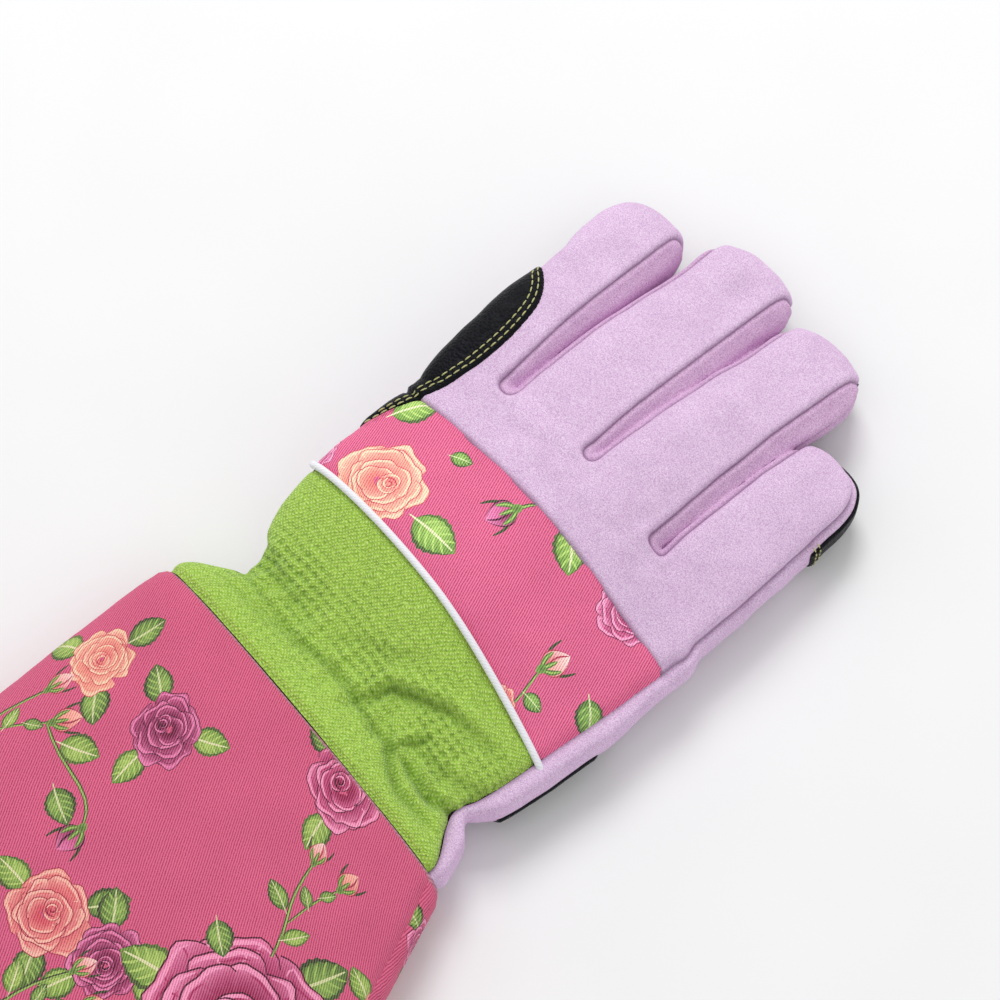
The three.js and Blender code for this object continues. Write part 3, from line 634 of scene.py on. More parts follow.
def plain_material(name, colour, dark, roughness, pitch, depth):
    m = Nodes(name, roughness, Specular_IOR_Level=0.3)
    p = m.place()
    rib = m.wave(p, math.radians(50), pitch)
    speck = m.noise(p, 1.5, 2)
    tone = m.math("MULTIPLY_ADD", rib, 0.4, m.math("MULTIPLY", speck, 0.6))
    return m.finish(m.ramp(tone, [(0.15, dark), (0.6, colour)]), rib, depth, 0.6)


SUEDE = suede_material("lilac_suede", rgb(0.95, 0.87, 0.95), rgb(0.885, 0.765, 0.89), rgb(0.78, 0.64, 0.79))
SIDE_SUEDE = suede_material("side_suede", rgb(0.94, 0.83, 0.93), rgb(0.87, 0.72, 0.86), rgb(0.75, 0.57, 0.74))
BACK_TWILL = twill_material("back_twill", -23.7, (1.16, 1.12, 1.14, 1))
CUFF_TWILL = twill_material("cuff_twill", 23.7, (0.92, 0.79, 0.80, 1))
KNIT = knit_material()
LEATHER = leather_material()
PIPING = plain_material("white_piping", rgb(0.96, 0.965, 0.98), rgb(0.88, 0.89, 0.92), 0.7, 0.8, 0.03)
THREAD = plain_material("pale_thread", rgb(0.80, 0.80, 0.56), rgb(0.55, 0.55, 0.36), 0.75, 0.35, 0.08)
LINING = plain_material("cuff_reverse", rgb(0.78, 0.55, 0.62), rgb(0.62, 0.38, 0.46), 0.9, 1.06, 0.12)


# Making pieces

def piece(name, p, faces, material, nodes=(), cloth_mm=None, colours=None, gather=None, seam=None):
    """A smooth mesh object from millimetre points and faces of one size."""
    used, back = np.unique(faces, return_inverse=True)
    faces = back.reshape(faces.shape)
    mesh = bpy.data.meshes.new(name)
    co = ((p[used] + SHIFT) / 1000).astype(np.float32)
    size = faces.shape[1]
    mesh.vertices.add(len(co))
    mesh.vertices.foreach_set("co", co.ravel())
    mesh.loops.add(faces.size)
    mesh.loops.foreach_set("vertex_index", faces.ravel().astype(np.int32))
    mesh.polygons.add(len(faces))
    mesh.polygons.foreach_set("loop_start", np.arange(0, faces.size, size, dtype=np.int32))
    mesh.polygons.foreach_set("use_smooth", np.ones(len(faces), bool))
    mesh.update(calc_edges=True)
    mesh.validate()
    if cloth_mm is not None:
        flat = np.zeros((len(used), 3), np.float32)
        flat[:, :2] = cloth_mm[used]
        mesh.attributes.new("cloth_mm", "FLOAT_VECTOR", "POINT").data.foreach_set("vector", flat.ravel())
    if gather is not None:
        g = np.ones((len(used), 4), np.float32)
        g[:, :3] = gather[used][:, None]
        mesh.attributes.new("gather", "FLOAT_COLOR", "POINT").data.foreach_set("color", g.ravel())
    # the seam attribute holds painted shade from 0 to 1: along the sewn edges, or in the knitted band's
    # creases
    if seam is not None:
        mesh.attributes.new("seam", "FLOAT", "POINT").data.foreach_set("value", seam[used].astype(np.float32))
    if colours is not None:
        mesh.attributes.new("print", "FLOAT_COLOR", "CORNER").data.foreach_set("color", colours.ravel())
    mesh.materials.append(material)
    o = bpy.data.objects.new(name, mesh)
    bpy.context.scene.collection.objects.link(o)
    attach(o, "root")
    if nodes:
        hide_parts(*nodes)
    return o


def ring_quads(count, sides):
    """The quads between rings of points, each of as many sides."""
    i, j = np.meshgrid(np.arange(count - 1), np.arange(sides), indexing="ij")
    a, b = i * sides + j, i * sides + (j + 1) % sides
    return np.stack([a, b, b + sides, a + sides], -1).reshape(-1, 4)


def tube(path, radius, sides):
    """A round tube along points, open at its ends, as points and quads."""
    path = np.asarray(path, float)
    way = unit(np.gradient(path, axis=0))
    across = unit(np.cross(way, [0, 0, 1.0]), 1e-6)
    up = np.cross(across, way)
    radius = np.broadcast_to(radius, (len(path),))
    angle = np.arange(sides) * 2 * math.pi / sides
    ring = (across[:, None] * np.cos(angle)[None, :, None]
            + up[:, None] * np.sin(angle)[None, :, None]) * radius[:, None, None]
    p = (path[:, None] + ring).reshape(-1, 3)
    return p, ring_quads(len(path), sides)


def join(parts):
    """Several point and face sets as one."""
    points, faces, base = [], [], 0
    for p, f in parts:
        points.append(p)
        faces.append(f + base)
        base += len(p)
    return np.concatenate(points), np.concatenate(faces)


# The hand's skin

STEP = 0.8
skin_p, skin_q = skin_mesh(hand, (-84, -6, -2), (66, 206, 47), STEP)
skin_t = triangles(skin_q)
for _ in range(2):
    skin_p, _n = settle(hand, skin_p, 1)
    total = np.zeros_like(skin_p)
    number = np.zeros(len(skin_p))
    for a, b in ((0, 1), (1, 2), (2, 3), (3, 0)):
        for u, v in ((a, b), (b, a)):
            for k in range(3):
                total[:, k] += np.bincount(skin_q[:, u], skin_p[skin_q[:, v], k], len(skin_p))
            number += np.bincount(skin_q[:, u], minlength=len(skin_p))
    mean = total / np.maximum(number, 1)[:, None]
    skin_p = np.where((number > 0)[:, None], skin_p * 0.5 + mean * 0.5, skin_p)
skin_p, _n = settle(hand, skin_p, 2)


def keep(p, tris, value):
    """The part of a mesh where a value is above 0."""
    p, tris, side = cut(p, tris, value)
    return p, tris[side]


def dressed(p, kind):
    """Points of the plain skin moved out by the cloth's own relief."""
    q, n = settle(hand, p, 2)
    q = np.where((np.linalg.norm(q - p, axis=1) < 2)[:, None], q, p)
    return q + n * cloth(q, kind)[:, None]


skin_p, skin_t = keep(skin_p, skin_t, lambda p: p[:, 1])
upper_p, upper_t, is_up = cut(skin_p, skin_t, lambda p: p[:, 2] - seam_height(p[:, 0], p[:, 1]))
palm_t = upper_t[~is_up]
top_t = upper_t[is_up]

band_p, band_t, far = cut(upper_p, top_t, lambda p: p[:, 1] - piping_y(p[:, 0]))
band_t, rest_t = band_t[~far], band_t[far]
# the band laid flat: its sides unrolled, and its rows even from the cuff to the piping
flat_map = np.zeros((len(band_p), 2))
flat_map[:, 0] = band_p[:, 0] + 0.35 * np.sign(band_p[:, 0]) * np.maximum(MID + 8 - band_p[:, 2], 0)
flat_map[:, 1] = band_p[:, 1] * 46 / piping_y(band_p[:, 0])
gather_share = 0.25 + 0.75 * np.exp(-((band_p[:, 1] - 24 - 0.05 * band_p[:, 0]) / 13) ** 2)
# the seam attribute here carries the painted shade in the band's creases
piece("wrist_knit", dressed(band_p, "band"), band_t, KNIT, ["wrist_band"],
      cloth_mm=flat_map, gather=gather_share, seam=crease_shade(band_p))

suede_p, suede_t = keep(band_p, rest_t, lambda p: p[:, 1] - suede_y(p[:, 0]))
suede_p, all_t, in_slot = cut(suede_p, suede_t, lambda p: slots_field(p[:, 0], p[:, 1]))
piece("knuckle_suede", dressed(suede_p, "suede"), all_t[~in_slot], SUEDE, ["back_suede"],
      seam=seam_shade(suede_p, "suede"))
slot_tops = all_t[in_slot]
palm_p, palm_all, in_palm_slot = cut(upper_p, palm_t, lambda p: slots_field(p[:, 0], p[:, 1]))
piece("palm_cloth", dressed(palm_p, "palm"), palm_all[~in_palm_slot], SUEDE, ["palm_suede"],
      seam=seam_shade(palm_p, "palm"))
for i, node in enumerate(("fourchette_index_middle", "fourchette_middle_ring", "fourchette_ring_little")):
    parts = []
    for p, t in ((suede_p, slot_tops), (palm_p, palm_all[in_palm_slot])):
        middle = p[t].mean(1)
        near = np.stack([slot_field(k, middle[:, 0], middle[:, 1]) for k in range(3)]).argmax(0) == i
        parts.append((np.column_stack([dressed(p, "slot"), seam_shade(p, "slot")]), t[near]))
    p, t = join(parts)
    piece(node.replace("fourchette", "side_strip"), p[:, :3], t, SIDE_SUEDE, [node],
          seam=p[:, 3])


# Patches laid on the skin

PATCH_RISE = 1.2


def patch(name, nodes, inside, kind="palm"):
    """A leather patch: the skin inside a field, raised, with its edge rolled down."""
    p, t = keep(skin_p, skin_t, inside)
    used = np.unique(t)
    d = np.zeros(len(p))
    d[used] = inside(p[used])
    q, n = settle(hand, p, 1)
    rise = PATCH_RISE * np.sqrt(np.clip(d / 0.9, 0, 1)) - 0.3 + cloth(q, kind)
    piece(name, q + n * rise[:, None], t, LEATHER, nodes)


WEB = rounded(WEB_EDGE)
PALM_OUTLINE = rounded(PALM_EDGE)


def web_inside(p):
    """How far inside the patch by the thumb a point of the skin is."""
    d = inside_edge(WEB, p[:, 0], p[:, 1])
    return np.minimum(d, p[:, 2] - (MID + lift(p[:, 0], p[:, 1]) - 5.5))


def tip_inside(i):
    """The same for the patch under a fingertip."""
    def field(p):
        s, u, length, a = finger_axes(i, p[:, 0], p[:, 1])
        edge = MID - 4.5 + lift(p[:, 0], p[:, 1]) if i < 2 else seam_height(p[:, 0], p[:, 1]) - 2.3
        low = edge - p[:, 2]
        d = np.minimum(s - (length - 27), low)
        if i < 3:
            d = np.minimum(d, a - lap(p[:, 1]) - 0.3 - u)
        if i > 0:
            d = np.minimum(d, u + a - TUCK - 0.3)
        return np.minimum(d, a * 1.3 - np.abs(u))
    return field


patch("web_leather", ["web_patch"], web_inside, "suede")
patch("palm_leather", ["palm_patch"],
      lambda p: np.minimum(inside_edge(PALM_OUTLINE, p[:, 0], p[:, 1]),
                           MID - 1.6 + lift(p[:, 0], p[:, 1]) - p[:, 2]))
for i, finger in enumerate(("index", "middle", "ring", "little")):
    patch(finger + "_tip_leather", [finger + "_tip_patch"], tip_inside(i))


# Seam stitches on the web patch and the little finger's patch

def on_skin(points, out):
    """Points brought onto the skin and moved out, with the way out there."""
    q, n = settle(hand, np.asarray(points, float), 6)
    return q + n * out, n


def top_points(plan, out):
    """Points over a plan line, brought down onto the top of the hand."""
    plan = np.asarray(plan, float)
    z = MID + lift(plan[:, 0], plan[:, 1]) + THICK(plan[:, 1]) + 1.5
    return on_skin(np.column_stack([plan, z]), out)


def evenly(line, pitch):
    """A line's points set at even distances."""
    step = np.linalg.norm(np.diff(line, axis=0), axis=1)
    at = np.concatenate([[0], np.cumsum(step)])
    places = np.arange(0, at[-1], pitch)
    return np.column_stack([np.interp(places, at, line[:, k]) for k in range(line.shape[1])])


STITCH_STEPS = 8


def stitch_row(line, pitch=2.7, share=0.78, radius=0.24):
    """Short rounded stitches along a line of points."""
    fine = evenly(line, pitch / STITCH_STEPS)
    parts = []
    count = int(STITCH_STEPS * share)
    for k in range(0, len(fine) - count, STITCH_STEPS):
        run = fine[k:k + count + 1]
        sink = np.array([0, 0, 0.16])
        bow = np.sin(np.linspace(0, math.pi, len(run)))[:, None]
        size = radius * (0.45 + 0.55 * np.sqrt(bow[:, 0]))
        parts.append(tube(run - sink + sink * 1.6 * bow, size, 6))
    return parts


def inset_line(edge, inset):
    """An outline moved inwards."""
    way = unit(np.roll(edge, -1, axis=0) - np.roll(edge, 1, axis=0))
    inward = np.stack([-way[:, 1], way[:, 0]], 1)
    moved = edge + inward * inset
    if inside_edge(edge, moved[:, 0], moved[:, 1]).mean() < 0:
        moved = edge - inward * inset
    return moved


stitches = []
for inset in (1.7, 3.5):
    line = inset_line(WEB, inset)
    line = line[(line[:, 0] > -74) & (line[:, 1] > 61) & (line[:, 1] < 141)]
    start = np.argmax(line[:, 1])
    line = np.roll(line, -start, axis=0)
    if line[1, 1] > line[-1, 1] and line[-1, 0] > line[1, 0]:
        line = line[::-1]
    line = evenly(line, 0.8)
    q, n = top_points(line, 0)
    close = (np.linalg.norm(q[:, :2] - line, axis=1) < 3.5) & (q[:, 2] > MID + lift(q[:, 0], q[:, 1]))
    q = q + n * (cloth(q, "suede") + 0.98)[:, None]
    stitches += stitch_row(q[close])
for back_from_end in (25.4, 23.6):
    rx, tx, ty, _wide, tip_wide, thick = FINGERS[3]
    way = np.array([tx - rx, ty - ROOT])
    length = math.hypot(*way)
    way /= length
    angle = np.linspace(0.45, -0.9, 24)
    s = length - back_from_end
    aside = np.outer(np.cos(angle) * tip_wide * 0.5, [way[1], -way[0]])
    plan = np.array([rx, ROOT]) + way * s + aside
    z = MID + lift(plan[:, 0], plan[:, 1]) + np.sin(angle) * thick / 2
    q, n = on_skin(np.column_stack([plan, z]), 0)
    q = q + n * (cloth(q, "palm") + 1.0)[:, None]
    stitches += stitch_row(evenly(q, 0.4), 2.3, 0.72, 0.26)
p, q = join(stitches)
piece("web_stitches", p, q, THREAD)


# White piping

xs = np.linspace(-66, 60, 260)
plan = np.column_stack([xs, piping_y(xs)])
q, _n = top_points(plan, 0.15)
fits = (np.abs(q[:, 1] - piping_y(q[:, 0])) < 3) & (q[:, 2] > seam_height(q[:, 0], q[:, 1]) - 1.5)
line = evenly(q[fits], 0.8)
line[:, 1] = piping_y(line[:, 0])
line, _n = on_skin(line, 0.2)
p, q = tube(line, 1.08, 14)
piece("white_piping_cord", p, q, PIPING, ["piping"])


# Thumb

THUMB_ROWS = 90
THUMB_SIDES = 72


def thumb_mesh():
    """The thumb's cloth, a tube with its seam underneath and a closed tip."""
    around = THUMB_SIDES + 1
    t = np.linspace(0, len(THUMB) - 1, THUMB_ROWS)
    k = np.arange(len(THUMB))
    rows = np.column_stack([np.interp(t, k, THUMB[:, i]) for i in range(5)])
    bell = np.exp(-0.5 * (np.arange(-9, 10) / 3.5) ** 2)
    bell /= bell.sum()
    soft = np.column_stack([np.convolve(np.pad(rows[:, i], 9, "edge"), bell, "valid")
                            for i in range(5)])
    soft[-1] = rows[-1]
    way = unit(np.gradient(soft[:, :3], axis=0))
    across = unit(np.cross(way, [0, 0, 1.0]))
    up = np.cross(across, way)
    angle = np.arange(around) * 2 * math.pi / THUMB_SIDES - math.pi / 2
    c, s = np.cos(angle), np.sin(angle)
    c, s = np.sign(c) * np.abs(c) ** 0.78, np.sign(s) * np.abs(s) ** 0.78
    p = (soft[:, None, :3] + across[:, None] * (c[None] * soft[:, 3:4])[..., None]
         + up[:, None] * (s[None] * soft[:, 4:5])[..., None]).reshape(-1, 3)
    i, j = np.meshgrid(np.arange(THUMB_ROWS - 1), np.arange(THUMB_SIDES), indexing="ij")
    a = (i * around + j).ravel()
    quads = np.stack([a, a + 1, a + around + 1, a + around], -1)
    end = len(p)
    p = np.concatenate([p, [p[-around:].mean(0) + way[-1] * 1.2]])
    last = end - around + np.arange(THUMB_SIDES)
    cap = np.stack([last, last + 1, np.full(THUMB_SIDES, end)], 1)
    tris = np.concatenate([triangles(quads), cap])
    out = unit(p - np.concatenate([np.repeat(soft[:, :3], around, axis=0), soft[-1:, :3]]), 1e-6)
    p = p + out * (0.5 * ripple(p, 16, 31) - 0.3)[:, None]
    p[:, 2] = np.maximum(p[:, 2], 0.05)
    return p, tris


p, t = thumb_mesh()
piece("thumb_cloth", p, t, SUEDE, ["thumb"])


# Cloth tubes measured along and across, for the printed panels

class Panel:
    """A tube's rows of points, measured along the cloth from the middle of its top or underside."""

    def __init__(self, rows, section, under=False, step=0.7):
        self.rows = rows
        self.reach = np.arange(-125, 125.01, step)
        self.step = step
        angle = np.linspace(-0.75, math.pi + 0.75, 900)
        if under:
            angle = -angle
        self.grid = np.empty((len(rows), len(self.reach), 3))
        self.limits = np.empty((len(rows), 2))
        for j, v in enumerate(rows):
            p = section(v, angle)[::-1]
            along = np.concatenate([[0], np.cumsum(np.linalg.norm(np.diff(p, axis=0), axis=1))])
            middle = np.interp(0.5, np.linspace(0, 1, len(along)), along)
            along -= middle
            self.grid[j] = np.column_stack([np.interp(self.reach, along, p[:, k]) for k in range(3)])
            over = (p[:, 2] - seam_height(p[:, 0], p[:, 1])) * (-1 if under else 1)
            inside = np.flatnonzero(over > 0)
            self.limits[j] = along[inside[0]] - 0.4, along[inside[-1]] + 0.4
        self.sign = 1
        up = self.normal(np.zeros(1), np.array([rows[len(rows) // 2]]))[0, 2] > 0
        self.sign = 1 if up != under else -1

    def at(self, x, v):
        """The point at a distance across the cloth and a row's distance along it."""
        i = np.clip((x - self.reach[0]) / self.step, 0, len(self.reach) - 1.001)
        j = np.clip((v - self.rows[0]) / (self.rows[1] - self.rows[0]), 0, len(self.rows) - 1.001)
        i0, j0 = i.astype(int), j.astype(int)
        fi, fj = (i - i0)[:, None], (j - j0)[:, None]
        g = self.grid
        return ((g[j0, i0] * (1 - fi) + g[j0, i0 + 1] * fi) * (1 - fj)
                + (g[j0 + 1, i0] * (1 - fi) + g[j0 + 1, i0 + 1] * fi) * fj)

    def normal(self, x, v):
        across = self.at(x + 0.8, v) - self.at(x - 0.8, v)
        along = self.at(x, v + 1.5) - self.at(x, v - 1.5)
        return self.sign * unit(np.cross(across, along), 1e-6)


def hand_section(y, angle):
    """The palm's ring of points at one distance along it."""
    c, s = np.cos(angle), np.sin(angle)
    left, right, b = LEFT(y), RIGHT(y), THICK(y)
    x = (right - left) / 2 + (left + right) / 2 * np.sign(c) * np.abs(c) ** (2 / PALM_POWER)
    zz = b * np.sign(s) * np.abs(s) ** (2 / PALM_POWER)
    return np.column_stack([x, np.full(len(angle), y), MID + lift(x, y) + zz])


def cuff_section(v, angle, inset=0.0):
    """The cuff's ring of points at one distance from its seam."""
    c, s = np.cos(angle), np.sin(angle)
    bend = CUFF_TURN * smooth(v / CUFF / 0.35)
    a, half = CUFF_W(v) - inset, CUFF_T(v)
    u = a * np.sign(c) * np.abs(c) ** (2 / CUFF_POWER)
    w = np.sign(s) * np.abs(s) ** (2 / CUFF_POWER) * np.where(s > 0, half - inset, half + 1.2 - inset)
    x = -1.4 + math.sin(CUFF_TURN) * v + u * math.cos(bend)
    y = -math.cos(CUFF_TURN) * v + u * math.sin(bend)
    return np.column_stack([x, y, np.maximum(half + w, inset)])


# The print: flat shapes in layers, each with its own shading

class Art:
    """Coloured shapes laid one over another on a flat cloth."""

    def __init__(self):
        self.shapes = []

    def add(self, points, inner, outer=None, centre=None, reach=1.0, power=1.0):
        """A filled shape, shaded from inner to outer by the distance from its centre."""
        outer = inner if outer is None else outer
        self.shapes.append((np.asarray(points, float), inner, outer, centre, reach, power))

    def stroke(self, line, wide, colour, taper=0.3):
        """A painted line with narrowing ends."""
        line = np.asarray(line, float)
        t = np.linspace(0, 1, len(line) + 4)
        k = np.linspace(0, 1, len(line))
        line = np.column_stack([np.interp(t, k, line[:, i]) for i in (0, 1)])
        for _ in range(2):
            line[1:-1] = (line[:-2] + 2 * line[1:-1] + line[2:]) / 4
        way = unit(np.gradient(line, axis=0), 1e-6)
        across = np.stack([-way[:, 1], way[:, 0]], 1)
        half = wide / 2 * (taper + (1 - taper) * np.sin(math.pi * np.clip(t, 0.02, 0.98)) ** 0.6)
        aside = across * half[:, None]
        self.add(np.concatenate([line + aside, (line - aside)[::-1]]), colour)

    def rose(self, x, y, size, turn, tones, squash=0.92, seed=1):
        """An open rose: rings of overlapping petals round a curled heart."""
        r = np.random.default_rng(seed)
        light, body, deep, line = (np.array(t) for t in tones)
        centre = np.array([x, y])
        c, s = math.cos(turn), math.sin(turn)

        def place(radius, angle):
            local = np.stack([radius * np.cos(angle), radius * np.sin(angle) * squash], 1) * size
            return heart + local @ np.array([[c, s], [-s, c]])

        rings = ((5, 1.0, 0.70), (5, 0.80, 0.78), (4, 0.60, 0.95), (3, 0.42, 1.2), (2, 0.24, 1.5))
        for level, (count, far, half) in enumerate(rings):
            heart = centre + r.uniform(-0.045, 0.045, 2) * size * level
            start = r.uniform(0, 6.28)
            for k in r.permutation(count):
                mid = start + k * 2 * math.pi / count + r.uniform(-0.15, 0.15)
                reach = far * r.uniform(0.9, 1.06)
                t = np.linspace(-1, 1, 15)
                curl = (0.065 if level < 2 else 0.04) * np.sin(t * r.uniform(3, 6.5) + r.uniform(0, 6))
                edge = reach * (1 - 0.18 * np.abs(t) ** 2.6 + curl + 0.015 * np.sin(t * 13 + k))
                angle = mid + t * half
                inner = np.full(4, 0.25 * far)
                inner_angle = mid + np.linspace(0.7, -0.7, 4) * half
                rim = light * (1 - k % 3 * 0.22) + body * (k % 3 * 0.22)
                radii, angles = np.concatenate([edge, inner]), np.concatenate([angle, inner_angle])
                self.add(place(radii + 0.022, angles), line)
                self.add(place(radii, angles), deep, rim, heart, reach * size * 0.98, 2.9)
                for a in np.linspace(-0.6, 0.6, 3 if level < 2 else 1) + r.uniform(-0.2, 0.2):
                    run = np.array([0.8, 0.88, 0.95]) * np.interp(a, t, edge)
                    tone = body * 0.5 + deep * 0.5 if r.random() < 0.5 else light
                    vein = place(run, mid + a * half + r.uniform(-0.04, 0.04, 3))
                    self.stroke(vein, size * 0.026, tone, 0.1)
                part = slice(2, 13) if level < 3 else slice(3, 12)
                self.stroke(place(edge[part] * 0.95, angle[part]), size * 0.055, light, 0.1)
                fold = slice(3, 9) if k % 2 else slice(6, 12)
                self.stroke(place(edge[fold] * 0.86, angle[fold]), size * 0.03, deep * 0.6 + body * 0.4, 0.1)
        for k in range(3):
            angle = np.linspace(0, 4.6, 9) + k * 2.1
            radius = np.linspace(0.17 - 0.035 * k, 0.13 - 0.045 * k, 9)
            self.stroke(place(radius, angle), size * 0.045, line if k % 2 == 0 else light, 0.3)

    def leaf(self, x, y, size, turn, tones, wide=0.36):
        """A toothed leaf with a pale midrib and side veins."""
        dark, mid, light, vein = tones
        way = np.array([math.cos(turn), math.sin(turn)])
        across = np.array([-way[1], way[0]])
        t = np.linspace(0, 1, 15)
        half = wide * np.sin(math.pi * t ** 0.85) ** 0.8 * (1 + 0.05 * np.cos(t * 44))
        origin = np.array([x, y])

        def at(s, w):
            return origin + (np.outer(s, way) + np.outer(w, across)) * size

        for grow, inner, outer in ((1.0, mid, dark), (0.8, light, mid)):
            edge = np.concatenate([at(t, half * grow), at(t[::-1], -half[::-1] * grow)])
            self.add(edge, inner, outer, origin + (way * 0.45 + across * 0.1) * size, size * 0.42)
        for side in (-1, 1):
            for s in (0.18, 0.34, 0.5, 0.66):
                w = np.interp(s + 0.16, t, half) * 0.78 * side
                side_vein = at(np.array([s, s + 0.08, s + 0.2]), np.array([0, w * 0.55, w]))
                self.stroke(side_vein, size * 0.045, light, 0.1)
        midrib = at(np.linspace(-0.12, 0.93, 6), 0.03 * np.sin(np.linspace(0, 3, 6)))
        self.stroke(midrib, size * 0.05, vein, 0.25)

    def bud(self, x, y, size, turn, tones, greens):
        """A closed bud in its sepals, its base at x, y."""
        rim, body, deep, line = tones
        dark, mid, light, _vein = greens
        way = np.array([math.cos(turn), math.sin(turn)])
        across = np.array([-way[1], way[0]])
        origin = np.array([x, y])

        def at(pairs):
            q = np.asarray(pairs, float)
            return origin + (np.outer(q[:, 0], way) + np.outer(q[:, 1], across)) * size

        for side in (1, -1):
            self.stroke(at([(0, 0.08 * side), (0.5, 0.5 * side), (0.95, 0.56 * side)]), size * 0.1, dark)
        t = np.linspace(0, 1, 12)
        half = 0.40 * np.sin(math.pi * t ** 0.75) ** 0.75
        edge = np.concatenate([np.stack([t, half], 1), np.stack([t, -half], 1)[::-1]])
        self.add(at(edge * [1.0, 1.12]), line)
        self.add(at(edge), deep, rim, at([(0.1, 0)])[0], size * 0.9)
        petal = np.array([(0.05, -0.1), (0.35, -0.36), (0.75, -0.27), (0.98, 0.0), (0.7, 0.06), (0.3, 0.05)])
        self.add(at(petal), body, rim, at([(0.1, 0)])[0], size * 0.9)
        self.stroke(at([(0.2, 0.05), (0.6, 0.16), (0.95, 0.02)]), size * 0.06, line)
        for side in (1, 0, -1):
            tip = [(-0.05, 0.0), (0.22, 0.26 * side), (0.55, 0.33 * side)]
            self.stroke(at(tip), size * 0.17, mid, 0.1)
            self.stroke(at(tip), size * 0.06, light, 0.1)
        hip = [(-0.22, 0), (-0.1, 0.13), (0.08, 0.16), (0.14, 0), (0.08, -0.16), (-0.1, -0.13)]
        self.add(at(hip), mid, light, origin, size * 0.3)

    def stem(self, line, wide, greens):
        """A dark stem with a lit side."""
        self.stroke(line, wide, greens[0], 0.7)
        self.stroke(np.asarray(line) + [0.12 * wide, 0.12 * wide], wide * 0.5, greens[2], 0.5)


# the roses' colours: edge, petal, shade and outline; the leaves': dark, middle, light and vein
CREAM = ((1.0, 0.90, 0.74), (1.0, 0.78, 0.62), (0.93, 0.52, 0.47), (0.80, 0.33, 0.36))
PEACH = ((1.0, 0.82, 0.72), (0.99, 0.63, 0.55), (0.86, 0.36, 0.40), (0.64, 0.17, 0.27))
PINK = ((1.0, 0.68, 0.82), (0.90, 0.42, 0.62), (0.58, 0.11, 0.30), (0.29, 0.03, 0.13))
MAUVE = ((0.93, 0.56, 0.74), (0.76, 0.32, 0.52), (0.42, 0.07, 0.23), (0.22, 0.02, 0.11))
CORAL = ((1.0, 0.93, 0.88), (0.98, 0.64, 0.58), (0.90, 0.38, 0.40), (0.70, 0.22, 0.30))
GREENS = ((0.17, 0.33, 0.13), (0.31, 0.52, 0.19), (0.60, 0.82, 0.38), (0.84, 0.95, 0.68))
GREENS_2 = ((0.25, 0.42, 0.16), (0.43, 0.66, 0.24), (0.70, 0.90, 0.44), (0.90, 0.98, 0.74))
GROUND = (0.85, 0.39, 0.54)


def within(ring, q):
    """Which points are wound round by a closed line."""
    turns = np.zeros(len(q), int)
    x, y = q[:, 0], q[:, 1]
    for a, b in zip(ring, np.roll(ring, -1, axis=0)):
        left = (b[0] - a[0]) * (y - a[1]) - (x - a[0]) * (b[1] - a[1])
        turns += ((a[1] <= y) & (b[1] > y) & (left > 0)).astype(int)
        turns -= ((a[1] > y) & (b[1] <= y) & (left < 0)).astype(int)
    return turns != 0


def colour_of(shape, q):
    """A shape's colour at each of its points."""
    _points, inner, outer, centre, reach, power = shape
    if centre is None:
        return np.broadcast_to(np.array(inner), (len(q), 3))
    t = np.clip(np.linalg.norm(q - centre, axis=1) / reach, 0, 1)[:, None] ** power
    return np.array(inner) * (1 - t) + np.array(outer) * t


def printed(name, outline, art, spacing, to_cloth, material, nodes):
    """The panel inside an outline, cut along every edge of its print, as one piece."""
    outline = np.asarray(outline)
    low, high = outline.min(0), outline.max(0)
    points, rings, shapes = [outline], [np.arange(len(outline))], []
    base = len(outline)
    for shape in art.shapes:
        q = shape[0]
        if (q.max(0) < low).any() or (q.min(0) > high).any():
            continue
        points.append(q)
        rings.append(base + np.arange(len(q)))
        shapes.append(shape)
        base += len(q)
    edges = np.concatenate([np.stack([r, np.roll(r, -1)], 1) for r in rings])
    gx, gy = np.meshgrid(np.arange(low[0], high[0], spacing), np.arange(low[1], high[1], spacing))
    gx = gx + spacing / 2 * (np.arange(len(gx)) % 2)[:, None]
    loose = np.column_stack([gx.ravel(), gy.ravel()])
    points.append(loose[inside_edge(outline, loose[:, 0], loose[:, 1]) > spacing * 0.35])
    flat = np.concatenate(points)
    net = delaunay_2d_cdt([Vector(v) for v in flat], edges.tolist(), [], 0, 1e-4, False)
    q = np.array([(v.x, v.y) for v in net[0]])
    tris = np.array(net[2])
    middle = q[tris].mean(1)
    tris = tris[inside_edge(outline, middle[:, 0], middle[:, 1]) > 0]
    corner = q[tris]
    middle = corner.mean(1)
    colours = np.empty((len(tris), 3, 4))
    colours[..., :3] = GROUND
    colours[..., 3] = 1
    order = np.argsort(middle[:, 0])
    sorted_x = middle[order, 0]
    for shape in shapes:
        ring = shape[0]
        (x0, y0), (x1, y1) = ring.min(0), ring.max(0)
        near = order[np.searchsorted(sorted_x, x0):np.searchsorted(sorted_x, x1)]
        near = near[(middle[near, 1] > y0) & (middle[near, 1] < y1)]
        rows = near[within(ring, middle[near])]
        colours[rows, :, :3] = colour_of(shape, corner[rows].reshape(-1, 2)).reshape(-1, 3, 3)
    colours[..., :3] = linear(colours[..., :3])
    piece(name, to_cloth(q), tris, material, nodes, cloth_mm=q, colours=colours)


